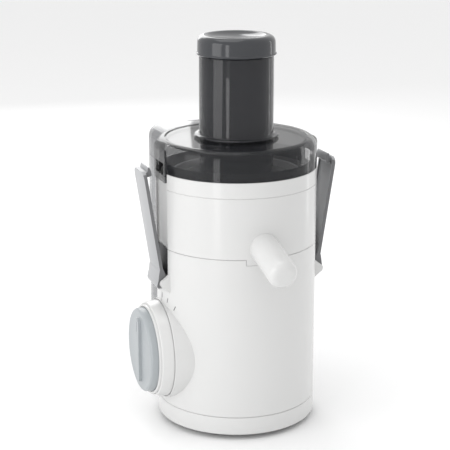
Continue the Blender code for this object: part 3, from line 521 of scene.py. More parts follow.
MAT = {
    "white": moulded("white_abs", (0.65, 0.65, 0.645), 0.26, 0.05, 0.20, 0.006),
    "inside": moulded("white_abs_inside", (0.72, 0.72, 0.715), 0.40, 0.10, 0.0, 0.02),
    "smoke": see_through("smoke_clear_plastic", (0.014, 0.015, 0.018), 0.05, 0.42, 0.90, 3.0),
    "tube": see_through("tube_smoke_plastic", (0.022, 0.023, 0.027), 0.05, 0.60, 0.96, 3.0),
    "chute": see_through("pale_clear_plastic", (0.15, 0.154, 0.162), 0.08, 0.36, 0.95, 2.5),
    "bin": see_through("pulp_bin_clear_plastic", (0.20, 0.205, 0.215), 0.10, 0.34, 0.95, 3.0),
    "pusher": moulded("pusher_smoke_plastic", (0.040, 0.042, 0.047), 0.12, 0.04, 0.0, 0.05),
    # the clamp's second colour is painted shade on the arms' Y-facing edges
    "clamp": shade_edged("clamp_grey_plastic", (0.37, 0.375, 0.385), (0.15, 0.152, 0.157), 0.32),
    "knob": moulded("dial_grey_plastic", (0.36, 0.385, 0.40), 0.34, 0.25, 0.0, 0.03),
    "dark": moulded("dark_plastic", (0.045, 0.045, 0.05), 0.45, 0.25, 0.0, 0.08),
    "rubber": moulded("foot_rubber", (0.022, 0.022, 0.023), 0.80, 0.60, 0.0, 0.10),
    "print": moulded("tick_print", (0.09, 0.092, 0.095), 0.45, 0.05, 0.0, 0.03),
    "steel": metal("turned_steel", (0.55, 0.55, 0.56), 0.32),
    "stainless": metal("brushed_stainless", (0.64, 0.64, 0.63), 0.24, (30.0, 1.0, 1.0)),
    "mesh": perforated("strainer_sheet", (0.62, 0.62, 0.61)),
    "lamination": metal("stacked_laminations", (0.26, 0.26, 0.28), 0.50, (1.0, 1.0, 60.0)),
    "copper": metal("enamelled_copper", (0.72, 0.34, 0.15), 0.34, (1.0, 40.0, 1.0)),
    "brass": metal("drawn_brass", (0.72, 0.56, 0.26), 0.32),
    "carbon": moulded("brush_carbon", (0.04, 0.04, 0.04), 0.62, 0.50, 0.0, 0.10),
}

DECK_THICK = 0.0025
WELL_RADIUS = 0.0146
WELL_TOP = HOUSING_TOP + 0.016
SCREW_RING = BODY_RADIUS - 0.0075
SCREW_ANGLES = (40, 140, 220, 320)


# ---------------------------------------------------------------- base and feet


def base_tray():
    """Shallow upturned tray with softly rounded rims, hollow underneath."""
    low, high = TRAY_LOW.z, TRAY_HIGH.z
    rings = []
    for degrees in (0, 22, 45, 67, 90):
        angle = math.radians(degrees)
        rings.append(lift(footprint(0.0018 * (1 - math.sin(angle))), low + 0.0018 * (1 - math.cos(angle))))
    for degrees in (0, 30, 60, 90):
        angle = math.radians(degrees)
        rings.append(lift(footprint(0.0012 * (1 - math.cos(angle))), high - 0.0012 * (1 - math.sin(angle))))
    rings.append(lift(footprint(0.010), high))
    tray = make(bridge(rings), "tray_shell")
    cut(tray, bridge([lift(footprint(WALL), low - 0.001), lift(footprint(WALL), high - 0.003)]))
    bosses = bmesh.new()
    for name in ("rubber_foot_1", "rubber_foot_2", "rubber_foot_3", "rubber_foot_4"):
        corner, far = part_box(name)
        x, y = (corner.x + far.x) / 2, (corner.y + far.y) / 2
        radius = (far.x - corner.x) / 2
        merge_into(bosses, rod((x, y, low + GAP), (x, y, high - 0.0025), radius + 0.002))
    join(tray, bosses)
    holes = bmesh.new()
    for degrees in SCREW_ANGLES:
        x, y = SCREW_RING * math.cos(math.radians(degrees)), SCREW_RING * math.sin(math.radians(degrees))
        merge_into(holes, rod((x, y, low), (x, y, high + 0.001), 0.0021))
    gland_low, gland_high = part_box("cord_gland")
    x, z = (gland_low.x + gland_high.x) / 2, (gland_low.z + gland_high.z) / 2
    merge_into(holes, rod((x, REAR_REACH - 0.008, z), (x, REAR_REACH + 0.002, z), 0.0055))
    cut(tray, holes)
    dress(tray, MAT["white"], "base", "white_plastic", "base_tray")


def rubber_feet():
    """Domed feet with a shallow ring pressed into each sole."""
    for number in range(1, 5):
        name = f"rubber_foot_{number}"
        low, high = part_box(name)
        radius, height = (high.x - low.x) / 2, high.z - low.z
        profile = [(radius * 0.42, 0.0006), (radius * 0.46, 0.0), (radius - 0.0016, 0.0)]
        for degrees in (30, 60, 90):
            angle = math.radians(degrees)
            profile.append((radius - 0.0016 + 0.0016 * math.sin(angle), 0.0016 * (1 - math.cos(angle))))
        profile += [(radius, height), (0.002, height), (0.002, 0.0006)]
        foot = turned(profile, SMALL * 2, True)
        spot = Vector(((low.x + high.x) / 2, (low.y + high.y) / 2, low.z))
        bmesh.ops.translate(foot, vec=spot, verts=foot.verts)
        dress(make(foot, f"foot_{number}"), MAT["rubber"], "base", "rubber", name)


# ---------------------------------------------------------------- housing


def side_backing(low, high):
    """Thickens the round wall from inside, left and right, where the clamp channels are cut."""
    outer = BODY_RADIUS - 0.0008
    reach = math.degrees(math.asin(POD_HALF / outer))
    both = bmesh.new()
    for middle in (0, 180):
        flip = 1 if middle == 0 else -1
        outline = arc((0, 0), outer, middle - reach, middle + reach, 25)
        outline += [(flip * POD_BACK, flip * POD_HALF), (flip * POD_BACK, -flip * POD_HALF)]
        merge_into(both, prism(outline, low, high))
    return both


def hinge_ears():
    """Rounded ears on both sides of each channel that carry the clamp pins."""
    outline = [(POD_BACK, ARM_PIVOT_Z - EAR_FOOT), (CHANNEL_FLOOR + 0.001, ARM_PIVOT_Z - EAR_FOOT)]
    outline += arc((ARM_PIVOT_X, ARM_PIVOT_Z), EAR_RADIUS, -70, 70, 17)
    outline += [(CHANNEL_FLOOR + 0.001, ARM_PIVOT_Z + EAR_FOOT), (POD_BACK, ARM_PIVOT_Z + EAR_FOOT)]
    ears = bmesh.new()
    for side in (-1, 1):
        for end in (-1, 1):
            low, high = sorted((end * (CHANNEL_HALF - 0.0005), end * EAR_OUT))
            merge_into(ears, prism([(side * x, z) for x, z in outline], low, high, "Y"))
    return ears


def toward_dial(bm, height=DIAL_HEIGHT):
    """Turns a body built along +Z to point out of the left side at the dial's height."""
    return placed(bm, (0, 0, height), (-1, 0, 0))


def motor_housing():
    """White motor housing: round wall, deck, dial boss, clamp channels, hinge ears and the front notch."""
    low, top, inner, edge = TRAY_HIGH.z + GAP, HOUSING_TOP, BODY_RADIUS - WALL, 0.0005
    profile = [(BODY_RADIUS - edge, low), (BODY_RADIUS, low + edge), (BODY_RADIUS, top - edge)]
    profile += [(BODY_RADIUS - edge, top), (inner, top), (inner, DECK_TOP), (WELL_RADIUS, DECK_TOP)]
    profile += [(WELL_RADIUS, DECK_TOP - DECK_THICK), (inner, DECK_TOP - DECK_THICK), (inner, low)]
    housing = make(turned(profile, FINE, True), "housing_shell")
    boss = [(DIAL_BOSS_FOOT, BODY_RADIUS / 3), (DIAL_BOSS_RADIUS, DIAL_BOSS_FACE - 0.0010)]
    for degrees in (30, 60, 90):
        angle = math.radians(degrees)
        boss.append((DIAL_BOSS_RADIUS - 0.0006 * (1 - math.cos(angle)),
                     DIAL_BOSS_FACE - 0.001 * (1 - math.sin(angle))))
    join(housing, toward_dial(turned(boss, FINE)))
    near, far, floor = DIAL_RING_RADIUS - 0.0008, DIAL_RING_RADIUS + 0.0010, DIAL_BOSS_FACE - 0.0019
    seat = [(near, DIAL_BOSS_FACE + 0.001), (near, floor), (far, floor), (far, DIAL_BOSS_FACE + 0.001)]
    cut(housing, toward_dial(turned(seat, FINE, True)))
    clear = BODY_RADIUS - WALL - GAP
    cut(housing, turned([(clear, TRAY_HIGH.z - 0.002), (clear, DECK_TOP - DECK_THICK - 0.0005)], FINE))
    hollow = [(DIAL_BOSS_RADIUS - WALL, BODY_RADIUS / 4), (DIAL_BOSS_RADIUS - WALL, DIAL_BOSS_FACE - WALL)]
    cut(housing, toward_dial(turned(hollow, FINE)))
    posts = bmesh.new()
    for degrees in SCREW_ANGLES:
        x, y = SCREW_RING * math.cos(math.radians(degrees)), SCREW_RING * math.sin(math.radians(degrees))
        merge_into(posts, rod((x, y, low + GAP), (x, y, low + 0.022), 0.0058))
    join(housing, posts)
    join(housing, side_backing(ARM_PIVOT_Z - POD_FOOT, HOUSING_TOP - GAP))
    join(housing, hinge_ears())
    cut(housing, both_sides(CHANNEL_FLOOR, 2 * BODY_RADIUS, CHANNEL_HALF, ARM_PIVOT_Z - 0.0085,
                            HOUSING_TOP + 0.001))
    holes = bmesh.new()
    spindle_in, spindle_out = -BODY_RADIUS + 0.012, -DIAL_BOSS_FACE - 0.006
    merge_into(holes, rod((spindle_in, 0, DIAL_HEIGHT), (spindle_out, 0, DIAL_HEIGHT), SPINDLE_HOLE))
    for side in (-1, 1):
        x, half = side * ARM_PIVOT_X, POD_HALF - 0.0011
        merge_into(holes, rod((x, -half, ARM_PIVOT_Z), (x, half, ARM_PIVOT_Z), PIN_HOLE))
    cut(housing, holes)
    cut(housing, box((-TAB_HALF - GAP, -2 * BODY_RADIUS, HOUSING_TOP - TAB_DROP - GAP),
                     (TAB_HALF + GAP, -BODY_RADIUS + 0.022, HOUSING_TOP + 0.001)))
    dress(housing, MAT["white"], "base", "white_plastic", "motor_housing")


def painted_channel_shade():
    """A dark plate on the floor of each clamp channel, just above the pivot: painted shade standing in for
    the shadow deep in the channel.
    """
    # painted shade: a thin dark plate where the channel lies in shadow
    plates = both_sides(CHANNEL_FLOOR + 0.00005, CHANNEL_FLOOR + 0.0004, CHANNEL_HALF - 0.0012,
                        ARM_PIVOT_Z + 0.0060, HOUSING_TOP - 0.0010)
    dress(make(plates, "channel_shade_plates"), MAT["dark"], "base", "dark_plastic")


def dial_ticks():
    """Three plain tick marks above the dial, printed on the housing."""
    ticks = bmesh.new()
    for degrees in (5, 17, 30):
        tick = box((-0.00045, 0.0560, 0.0), (0.00045, 0.0615, BODY_RADIUS + 0.010))
        bmesh.ops.rotate(tick, cent=(0, 0, 0), matrix=Matrix.Rotation(math.radians(-degrees), 3, "Z"),
                         verts=tick.verts)
        rows = Matrix(((0, 0, -1, 0), (-1, 0, 0, 0), (0, 1, 0, DIAL_HEIGHT), (0, 0, 0, 1)))
        bmesh.ops.transform(tick, matrix=rows, verts=tick.verts)
        merge_into(ticks, tick)
    marks = make(ticks, "dial_ticks")
    skin, proud = BODY_RADIUS - 0.0003, BODY_RADIUS + 0.00008
    shell = turned([(skin, 0.10), (proud, 0.10), (proud, 0.15), (skin, 0.15)], FINE, True)
    shape(marks, shell, "INTERSECT")
    dress(marks, MAT["print"], "base", "dark_plastic")


# ---------------------------------------------------------------- juice collector


def spout_tube(radius, start, end, lip=0.0):
    """A turned length of the spout, measured along its axis from the body's front."""
    profile = [(radius, start), (radius, end - lip)]
    if lip:
        for degrees in (18, 36, 54, 72, 90):
            angle = math.radians(degrees)
            profile.append((radius - lip * (1 - math.cos(angle)), end - lip * (1 - math.sin(angle))))
    axis = (0, -math.cos(SPOUT_TILT), -math.sin(SPOUT_TILT))
    return placed(turned(profile, ROUND), (0, -BODY_RADIUS, SPOUT_HEIGHT), axis)


def juice_collector():
    """White bowl with sloping floor, centre well, seam groove, clamp channels and spout."""
    bottom, top, edge = HOUSING_TOP + GAP, COLLECTOR_TOP - GAP, 0.0004
    groove, inner = COLLECTOR_TOP - GROOVE_DROP, BODY_RADIUS - WALL
    spigot = inner - 4 * GAP
    profile = [(BODY_RADIUS - edge, bottom), (BODY_RADIUS, bottom + edge), (BODY_RADIUS, groove - 0.0005)]
    profile += [(BODY_RADIUS - 0.0006, groove - 0.0001), (BODY_RADIUS - 0.0006, groove + 0.0001)]
    profile += [(BODY_RADIUS, groove + 0.0005), (BODY_RADIUS, top - edge), (BODY_RADIUS - edge, top)]
    profile += [(inner + edge, top), (inner, top - edge), (inner, bottom + 0.0055),
                (inner - 0.001, bottom + 0.0030)]
    profile += [(inner - 0.003, bottom + 0.0014), (WELL_RADIUS + 0.009, WELL_TOP - 0.0088)]
    profile += [(WELL_RADIUS + 0.005, WELL_TOP - 0.0075), (WELL_RADIUS + 0.003, WELL_TOP - 0.005)]
    profile += [(WELL_RADIUS + 0.003, WELL_TOP - edge), (WELL_RADIUS + 0.0026, WELL_TOP),
                (WELL_RADIUS, WELL_TOP)]
    profile += [(WELL_RADIUS, WELL_TOP - 0.011), (WELL_RADIUS + 0.007, WELL_TOP - 0.0117)]
    profile += [(spigot - WALL, bottom - 0.0023), (spigot - WALL, HOUSING_TOP - 0.008)]
    profile += [(spigot, HOUSING_TOP - 0.008), (spigot, bottom)]
    bowl = make(turned(profile, FINE, True), "collector_shell")
    join(bowl, side_backing(bottom + GAP, top - GAP))
    length = SPOUT_REACH / math.cos(SPOUT_TILT)
    join(bowl, spout_tube(SPOUT_RADIUS, -0.006, length, 0.0078))
    half = math.degrees(math.asin(TAB_HALF / BODY_RADIUS))
    outline = arc((0, 0), BODY_RADIUS, 270 - half, 270 + half, 25)
    outline += arc((0, 0), inner + GAP / 2, 270 + half, 270 - half, 25)
    join(bowl, prism(outline, HOUSING_TOP - TAB_DROP, bottom + 0.001))
    cut(bowl, box((-SPOUT_RADIUS - 0.004, -BODY_RADIUS + 0.0048, bottom + 0.0042),
                  (SPOUT_RADIUS + 0.004, -BODY_RADIUS + 0.022, SPOUT_HEIGHT + SPOUT_RADIUS + 0.009)))
    cut(bowl, spout_tube(SPOUT_BORE, -0.012, length - SPOUT_NOSE))
    middle, drop = -BODY_RADIUS - SPOUT_MOUTH, SPOUT_MOUTH * math.tan(SPOUT_TILT)
    mouth = [(-0.008, middle - 0.007), (0.008, middle - 0.007), (0.008, middle + 0.007),
             (-0.008, middle + 0.007)]
    cut(bowl, prism(eased(mouth, 0.005, 6), SPOUT_HEIGHT - drop - 0.030, SPOUT_HEIGHT - drop))
    cut(bowl, both_sides(CHANNEL_FLOOR, 2 * BODY_RADIUS, CHANNEL_HALF, bottom - 0.001, top + 0.001))
    cut(bowl, both_sides(POD_BACK - GAP, 2 * BODY_RADIUS, POD_HALF + GAP, HOUSING_TOP - 0.012, HOUSING_TOP))
    cut(bowl, both_sides(POD_BACK - 0.001, 2 * BODY_RADIUS, LUG_HALF + GAP, LUG_BOTTOM - GAP, top + 0.001))
    dress(bowl, MAT["white"], "base", "white_plastic", "juice_collector")


# ---------------------------------------------------------------- lid


def round_lid(inset, bottom):
    """The round part of the lid with its soft shoulder and sunk top face."""
    radius, top = BODY_RADIUS - inset, LID_TOP - inset
    profile = [(radius, bottom), (radius, top - SHOULDER_DROP)]
    for step in range(1, 11):
        angle = math.radians(9 * step)
        profile.append((radius - SHOULDER_WIDTH * (1 - math.cos(angle)),
                        top - SHOULDER_DROP * (1 - math.sin(angle))))
    profile += [(radius - SHOULDER_WIDTH - 0.0009, top), (radius - SHOULDER_WIDTH - 0.0013, top - 0.0004)]
    profile += [(radius - SHOULDER_WIDTH - 0.0015, top - LEDGE),
                (radius - SHOULDER_WIDTH - 0.004, top - LEDGE)]
    return turned(profile, FINE)


def chute_body(inset, bottom):
    """The rear part of the lid, over the pulp container, with a rounded upper edge."""
    top, roll = CHUTE_TOP - inset, 0.0125
    rings = [lift(chute_plan(inset), bottom), lift(chute_plan(inset), top - roll)]
    for step in range(1, 9):
        angle = math.radians(11.25 * step)
        rings.append(lift(chute_plan(inset + 0.0105 * (1 - math.cos(angle))),
                          top - roll * (1 - math.sin(angle))))
    return bridge(rings)


def catch_lugs():
    """A block on each side with an arched top, which the clamp barbs hook into."""
    roll = 0.0075
    top = LID_TOP - 0.0012
    outline = [(POD_BACK - 0.004, LUG_BOTTOM), (LUG_OUT, LUG_BOTTOM)]
    outline += [(x, z) for x, z in arc((LUG_OUT - roll, top - roll), roll, 0, 90, 10)]
    outline.append((POD_BACK - 0.004, top))
    pair = bmesh.new()
    for side in (-1, 1):
        points = [(side * x, z) for x, z in outline]
        merge_into(pair, prism(points, -LUG_HALF, LUG_HALF, "Y"))
    return pair


def pulp_way(low, high):
    """The opening through the round cover into the chute behind it."""
    half = REAR_HALF - LID_WALL
    return prism([(-half, 0.030), (half, 0.030), (half, 0.13), (-half, 0.13)], low, high)


def lid():
    """Smoke cover with its shoulder, catches and a fine groove round its top face; open over the chute."""
    cover = make(round_lid(0.0, COLLECTOR_TOP), "lid_cover")
    join(cover, catch_lugs())
    cut(cover, round_lid(LID_WALL, COLLECTOR_TOP - 0.020))
    cut(cover, both_sides(CATCH_BACK, 2 * BODY_RADIUS, CATCH_HALF, CATCH_FLOOR, CATCH_TOP))
    rim = BODY_RADIUS - SHOULDER_WIDTH - 0.0015
    groove = LID_TOP - LEDGE - 0.0008
    cut(cover, turned([(rim - 0.0012, groove), (rim, groove), (rim, LID_TOP), (rim - 0.0012, LID_TOP)],
                      FINE, True))
    cut(cover, turned([(TUBE_RADIUS - 0.0008, COLLECTOR_TOP), (TUBE_RADIUS - 0.0008, LID_TOP + 0.002)],
                      FINE))
    cut(cover, pulp_way(CHUTE_BOTTOM, CHUTE_TOP - LID_WALL - 0.0045))
    dress(cover, MAT["smoke"], "lid", "smoke_clear", "lid")

    chute = make(chute_body(0.0, CHUTE_BOTTOM), "lid_chute")
    cut(chute, chute_body(LID_WALL, CHUTE_BOTTOM - 0.015))
    around = BODY_RADIUS + CONTAINER_GAP
    cut(chute, turned([(around, CHUTE_BOTTOM - 0.02), (around, LID_TOP + 0.01)], FINE))
    dress(chute, MAT["chute"], "lid", "smoke_clear", "lid")


def lid_seals():
    """Dark seal inside the foot of the cover and a thin one under the rim of its top face."""
    skirt = BODY_RADIUS - LID_WALL - 2 * GAP
    foot = [(skirt - 0.0020, COLLECTOR_TOP - 0.0050), (skirt - 0.0004, COLLECTOR_TOP - 0.0050)]
    foot += [(skirt, COLLECTOR_TOP - 0.0040), (skirt, COLLECTOR_TOP + 0.0072),
             (skirt - 0.0006, COLLECTOR_TOP + 0.0080)]
    foot += [(skirt - 0.0020, COLLECTOR_TOP + 0.0080)]
    seal = make(turned(foot, FINE, True), "lid_foot_seal")
    cut(seal, pulp_way(CHUTE_BOTTOM - 0.002, LID_TOP))
    cut(seal, both_sides(CATCH_BACK - 0.0006, 2 * BODY_RADIUS, CATCH_HALF + 0.001, CATCH_FLOOR - 0.006,
                         CATCH_TOP))
    dress(seal, MAT["rubber"], "lid", "rubber")
    rim, under = BODY_RADIUS - LID_WALL - SHOULDER_WIDTH, LID_TOP - LID_WALL - LEDGE - GAP
    ring = [(rim - 0.0022, under - 0.0014), (rim + 0.0004, under - 0.0014), (rim + 0.0004, under),
            (rim - 0.0022, under)]
    seal = make(turned(ring, FINE, True), "lid_face_seal")
    cut(seal, pulp_way(CHUTE_BOTTOM - 0.002, CHUTE_TOP - LID_WALL - 0.0045))
    dress(seal, MAT["rubber"], "lid", "rubber")


def feed_tube():
    """Tall feed tube that passes through the cover, with a low collar at its root."""
    flange, top = LID_TOP + 0.0004, COLLAR_TOP - 0.0004
    profile = [(TUBE_RADIUS, TUBE_BOTTOM), (TUBE_RADIUS, flange), (COLLAR_RADIUS - 0.0006, flange)]
    profile += [(COLLAR_RADIUS, flange + 0.0006), (COLLAR_RADIUS, top - 0.0008),
                (COLLAR_RADIUS - 0.0008, top)]
    for degrees in (0, 30, 60, 90):
        angle = math.radians(degrees)
        profile.append((TUBE_RADIUS + 0.0022 * (1 - math.sin(angle)), top + 0.0022 * (1 - math.cos(angle))))
    profile += [(TUBE_RADIUS, TUBE_TOP - 0.0008), (TUBE_RADIUS - 0.0004, TUBE_TOP - 0.0002),
                (TUBE_RADIUS - 0.0010, TUBE_TOP)]
    inner = TUBE_RADIUS - TUBE_WALL
    profile += [(inner + 0.0006, TUBE_TOP), (inner, TUBE_TOP - 0.0006), (inner, TUBE_BOTTOM)]
    dress(make(turned(profile, FINE, True), "feed_tube"), MAT["tube"], "lid", "smoke_clear", "lid")


# ---------------------------------------------------------------- pusher


def pusher():
    """Hollow plunger with cross ribs inside, and its domed cap."""
    outer = PUSHER_HIGH.x
    low, high, wall = PUSHER_LOW.z, PUSHER_HIGH.z, 0.0022
    profile = [(0.0004, low)]
    for degrees in (0, 30, 60, 90):
        angle = math.radians(degrees)
        profile.append((outer - 0.003 * (1 - math.sin(angle)), low + 0.003 * (1 - math.cos(angle))))
    profile += [(outer, high), (outer - wall, high), (outer - wall, low + 0.004), (0.0004, low + 0.004)]
    plunger = make(turned(profile, ROUND, True), "pusher_body")
    half, reach = 0.0008, outer - 0.001
    cross = [(half, reach), (-half, reach), (-half, half), (-reach, half), (-reach, -half), (-half, -half)]
    cross += [(-half, -reach), (half, -reach), (half, -half), (reach, -half), (reach, half), (half, half)]
    join(plunger, prism(cross, low + 0.003, high - 0.02))
    dress(plunger, MAT["pusher"], "pusher", "smoke_clear", "pusher")

    rim, top, base, plug = CAP_HIGH.x, CAP_HIGH.z, TUBE_TOP + 2 * GAP, outer - 0.0027
    profile = [(0.0005, CAP_LOW.z), (plug, CAP_LOW.z), (plug, base), (rim - 0.0008, base),
               (rim, base + 0.0008)]
    profile += [(rim - 0.0002, base + 0.0016), (rim - 0.0010, base + 0.0024), (rim - 0.0012, top - 0.0070)]
    for degrees in (15, 30, 45, 60, 75, 90):
        angle = math.radians(degrees)
        profile.append((rim - 0.0012 - 0.007 * (1 - math.cos(angle)), top - 0.007 * (1 - math.sin(angle))))
    profile += [(rim - 0.0110, top - 0.0006), (rim - 0.0140, top - 0.0022), (0.0005, top - 0.0034)]
    dress(make(turned(profile, FINE, True), "pusher_grip_cap"), MAT["pusher"], "pusher", "smoke_clear",
          "pusher_cap")


# ---------------------------------------------------------------- pulp container


def pulp_container():
    """Tall clear bin that hugs the body, with a rolled rim and a finger rail at the back."""
    floor, top, wall = BIN_LOW.z, BIN_HIGH.z, 0.0022
    rings = []
    for degrees in (0, 30, 60, 90):
        angle = math.radians(degrees)
        rings.append(lift(crescent(0.0018 * (1 - math.sin(angle))), floor + 0.0018 * (1 - math.cos(angle))))
    rings += [lift(crescent(), top - 0.0004), lift(crescent(0.0004), top),
              lift(crescent(wall - 0.0004), top)]
    rings += [lift(crescent(wall), top - 0.0004), lift(crescent(wall), floor + 0.0035)]
    rings.append(lift(crescent(wall + 0.0012), floor + 0.0025))
    holder = make(bridge(rings), "pulp_bin")
    grip = box((-0.026, REAR_REACH - 0.0006, top - 0.034), (0.026, BIN_HIGH.y, top - 0.026))
    bmesh.ops.bevel(grip, geom=grip.edges, offset=0.0026, segments=5, affect="EDGES", profile=0.5)
    join(holder, grip)
    dress(holder, MAT["bin"], "container", "pulp_bin_plastic", "pulp_container")


# ---------------------------------------------------------------- clamps


def arm_outline(inset=0.0, foot=-0.0056):
    """The clamp arm's face: straight sides, with rounded corners at the top and at the foot."""
    corner = 0.0080 - inset
    half, top, bottom = ARM_HALF - inset, ARM_LENGTH - inset, foot + inset
    points = arc((-half + corner, bottom + corner), corner, 180, 270, 12)
    points += arc((half - corner, bottom + corner), corner, 270, 360, 12)
    points += arc((half - corner, top - corner), corner, 0, 90, 12)
    points += arc((-half + corner, top - corner), corner, 90, 180, 12)
    return points


def clamp(side, name, body):
    """One clamp arm: dished plate, barrel, flared foot and a hooked barb, built upright then tilted."""
    face = ARM_THICK / 2
    arm = make(prism(arm_outline(), -face, face, "X"), name + "_arm")
    dish = prism(arm_outline(0.0022, 0.016), -2 * face, -face + 0.0012, "X")
    cut(arm, dish)
    flare = eased([(-0.0030, 0.0090), (-0.0042, 0.0010), (-0.0024, -0.0044), (0.0012, -0.0072),
                   (0.0052, -0.0066),
                   (0.0076, -0.0020), (0.0050, 0.0040), (0.0020, 0.0140), (-0.0017, 0.0160)], 0.005, 6)
    foot = make(prism(flare, -ARM_HALF, ARM_HALF, "Y"), name + "_foot")
    shape(foot, prism(arm_outline(0.0, -0.0076), -0.01, 0.01, "X"), "INTERSECT")
    join(arm, taken(foot))
    join(arm, rod((0, -ARM_HALF, 0), (0, ARM_HALF, 0), BARREL_RADIUS, ROUND))
    base = CATCH_FLOOR - ARM_PIVOT_Z + 2 * GAP
    tip = -face - BARB_REACH
    barb = [(-face + 0.0018, base - 0.0028), (-face - 0.0006, base - 0.0004), (tip + 0.0012, base)]
    barb += [(tip, base + 0.0012), (tip + 0.0004, base + 0.0060), (tip + 0.0016, base + 0.0092)]
    barb += [(tip + 0.0030, base + 0.0088), (-face - 0.0020, base + 0.0048), (-face + 0.0018, base + 0.0042)]
    join(arm, prism(eased(barb, 0.0008, 3), -BARB_HALF, BARB_HALF, "Y"))
    cut(arm, rod((0, -ARM_HALF - 0.001, 0), (0, ARM_HALF + 0.001, 0), PIN_HOLE, SMALL))
    soften(arm, 0.0007, 3, 50)
    turn = Matrix.Rotation(0 if side > 0 else math.pi, 4, "Z") @ Matrix.Rotation(ARM_REST, 4, "Y")
    arm.data.transform(Matrix.Translation((side * ARM_PIVOT_X, 0, ARM_PIVOT_Z)) @ turn)
    dress(arm, MAT["clamp"], body, "clamp_plastic", name, angle=50)


# ---------------------------------------------------------------- dial


def dial():
    """Stepped ring on the dial boss and the grey knob with its grip bar."""
    low = DIAL_BOSS_FACE + GAP
    face, lip = low + DIAL_RING_DEPTH, low + DIAL_LIP_DEPTH
    web, well = lip - 0.0017, KNOB_RADIUS + 0.0006
    ring = [(DIAL_RING_RADIUS, low), (DIAL_RING_RADIUS - 0.0013, face - 0.0012),
            (DIAL_RING_RADIUS - 0.0016, face - 0.0005)]
    ring += [(DIAL_RING_RADIUS - 0.0023, face), (DIAL_LIP_RADIUS + 0.0005, face),
             (DIAL_LIP_RADIUS, face - 0.0005)]
    ring += [(DIAL_LIP_RADIUS, lip - 0.0006), (DIAL_LIP_RADIUS - 0.0002, lip - 0.0002),
             (DIAL_LIP_RADIUS - 0.0006, lip)]
    ring += [(well + 0.0004, lip), (well, lip - 0.0004), (well, web), (0.012, web), (0.012, web - WALL)]
    ring += [(DIAL_RING_RADIUS - 0.0030, web - WALL), (DIAL_RING_RADIUS - 0.0022, low)]
    dress(make(toward_dial(turned(ring, FINE, True)), "dial_trim"), MAT["white"], "base", "white_plastic",
          "dial_ring")

    back, skirt = web + 0.0006, KNOB_FACE - 0.0030
    profile = [(SPINDLE_RADIUS, DIAL_BOSS_FACE - WALL - 0.0022), (SPINDLE_RADIUS, back),
               (KNOB_RADIUS - 0.0006, back)]
    profile += [(KNOB_RADIUS, back + 0.0006), (KNOB_RADIUS - 0.0004, skirt)]
    for degrees in (22, 45, 67, 90):
        angle = math.radians(degrees)
        profile.append((KNOB_RADIUS - 0.0004 - 0.003 * (1 - math.cos(angle)),
                        skirt + 0.003 * math.sin(angle)))
    profile += [(KNOB_RADIUS - 0.0060, KNOB_FACE - 0.0004), (0.006, KNOB_FACE - 0.0004)]
    knob = make(turned(profile, FINE), "knob_tool")
    grip = eased([(-0.034, -0.0060), (0.034, -0.0060), (0.034, 0.0060), (-0.034, 0.0060)], 0.0055, 8)
    join(knob, prism(grip, KNOB_FACE - 0.0010, KNOB_FACE + KNOB_GRIP))
    cut(knob, box((0.0200, -0.0007, KNOB_FACE + KNOB_GRIP - 0.0008), (0.0310, 0.0007, KNOB_FACE + 0.0090)))
    soften(knob, 0.0007, 3, 50)
    knob.data.transform(Matrix.Translation((0, 0, DIAL_HEIGHT)) @ Matrix.Rotation(-math.pi / 2, 4, "Y"))
    knob.name = "dial_grip"
    dress(knob, MAT["knob"], "dial", "grey_plastic", "dial_knob")


# ---------------------------------------------------------------- carried-over parts


def finish_nodes():
    """Gives every CAD part that is still showing a finished material."""
    looks = {
        "steel": ("base_screw", "bearing", "bracket", "clamp_left_pin", "clamp_right_pin", "motor_shaft"),
        "inside": ("basket_hub", "strainer_rim"),
        "carbon": ("brush_front", "brush_rear"),
        "brass": ("brush_holder",),
        "copper": ("commutator", "field_coil", "winding"),
        "dark": ("cooling_fan", "cord_gland", "drive_coupling", "interlock_switch", "speed_switch"),
        "stainless": ("grater_disc",),
        "mesh": ("strainer_wall",),
        "rubber": ("motor_mount", "shaft_seal"),
        "lamination": ("rotor_core", "stator_core"),
    }
    for key, starts in looks.items():
        for name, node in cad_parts.items():
            if name.startswith(starts):
                node.data.materials.clear()
                node.data.materials.append(MAT[key])


# ---------------------------------------------------------------- stage


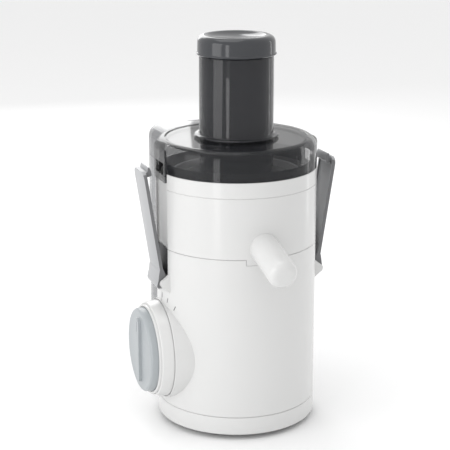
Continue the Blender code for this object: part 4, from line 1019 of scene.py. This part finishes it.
def studio():
    """Pale floor, soft area lights and the camera."""
    white = moulded("studio_floor", (0.95, 0.95, 0.95), 0.75, 0.02, 0.0, 0.004)
    mesh = bpy.data.meshes.new("studio_floor")
    half = 14.0
    mesh.from_pydata([(-half, -half, 0), (half, -half, 0), (half, half, 0), (-half, half, 0)], [],
                     [(0, 1, 2, 3)])
    mesh.materials.append(white)
    floor = bpy.data.objects.new("studio_floor", mesh)
    bpy.context.scene.collection.objects.link(floor)

    world = bpy.data.worlds.new("soft_room")
    world.use_nodes = True
    back = world.node_tree.nodes["Background"]
    back.inputs["Color"].default_value = (1.0, 1.0, 1.0, 1.0)
    back.inputs["Strength"].default_value = 0.90
    bpy.context.scene.world = world

    body, cover = Vector((0, 0, 0.20)), Vector((0, 0, 0.30))
    lamps = (
        ("front_strip", (-0.54, -0.52, 0.30), body, 0.12, 0.60, 0.6),
        ("left_bank", (-1.6, -0.3, 0.6), body, 0.9, 1.2, 6.5),
        ("right_strip", (0.80, 0.12, 0.30), body, 0.06, 0.70, 0.32),
        ("rear_panel", (0.10, 1.55, 0.85), cover, 0.75, 0.90, 5.0),
        ("top_bank", (-0.3, 0.2, 2.0), body, 1.2, 1.2, 6.0),
    )
    for name, place, target, wide, tall, power in lamps:
        data = bpy.data.lights.new(name, "AREA")
        data.shape = "RECTANGLE"
        data.size = wide
        data.size_y = tall
        data.energy = power
        lamp = bpy.data.objects.new(name, data)
        lamp.location = place
        lamp.rotation_euler = (target - Vector(place)).to_track_quat("-Z", "Y").to_euler()
        lamp.visible_camera = False
        bpy.context.scene.collection.objects.link(lamp)

    data = bpy.data.cameras.new("view")
    data.lens = 109.7
    data.sensor_width = 36.0
    camera = bpy.data.objects.new("view", data)
    camera.location = (-0.4701, -1.2783, 0.5828)
    camera.rotation_euler = Vector((0.32492, 0.90689, -0.26829)).to_track_quat("-Z", "Y").to_euler()
    bpy.context.scene.collection.objects.link(camera)
    bpy.context.scene.camera = camera
    bpy.context.scene.view_settings.view_transform = "Standard"


base_tray()
rubber_feet()
motor_housing()
# painted shade plates in the clamp channels
painted_channel_shade()
dial_ticks()
juice_collector()
lid()
lid_seals()
feed_tube()
pusher()
pulp_container()
clamp(-1, "clamp_left", "clamp_left")
clamp(1, "clamp_right", "clamp_right")
dial()
finish_nodes()
studio()
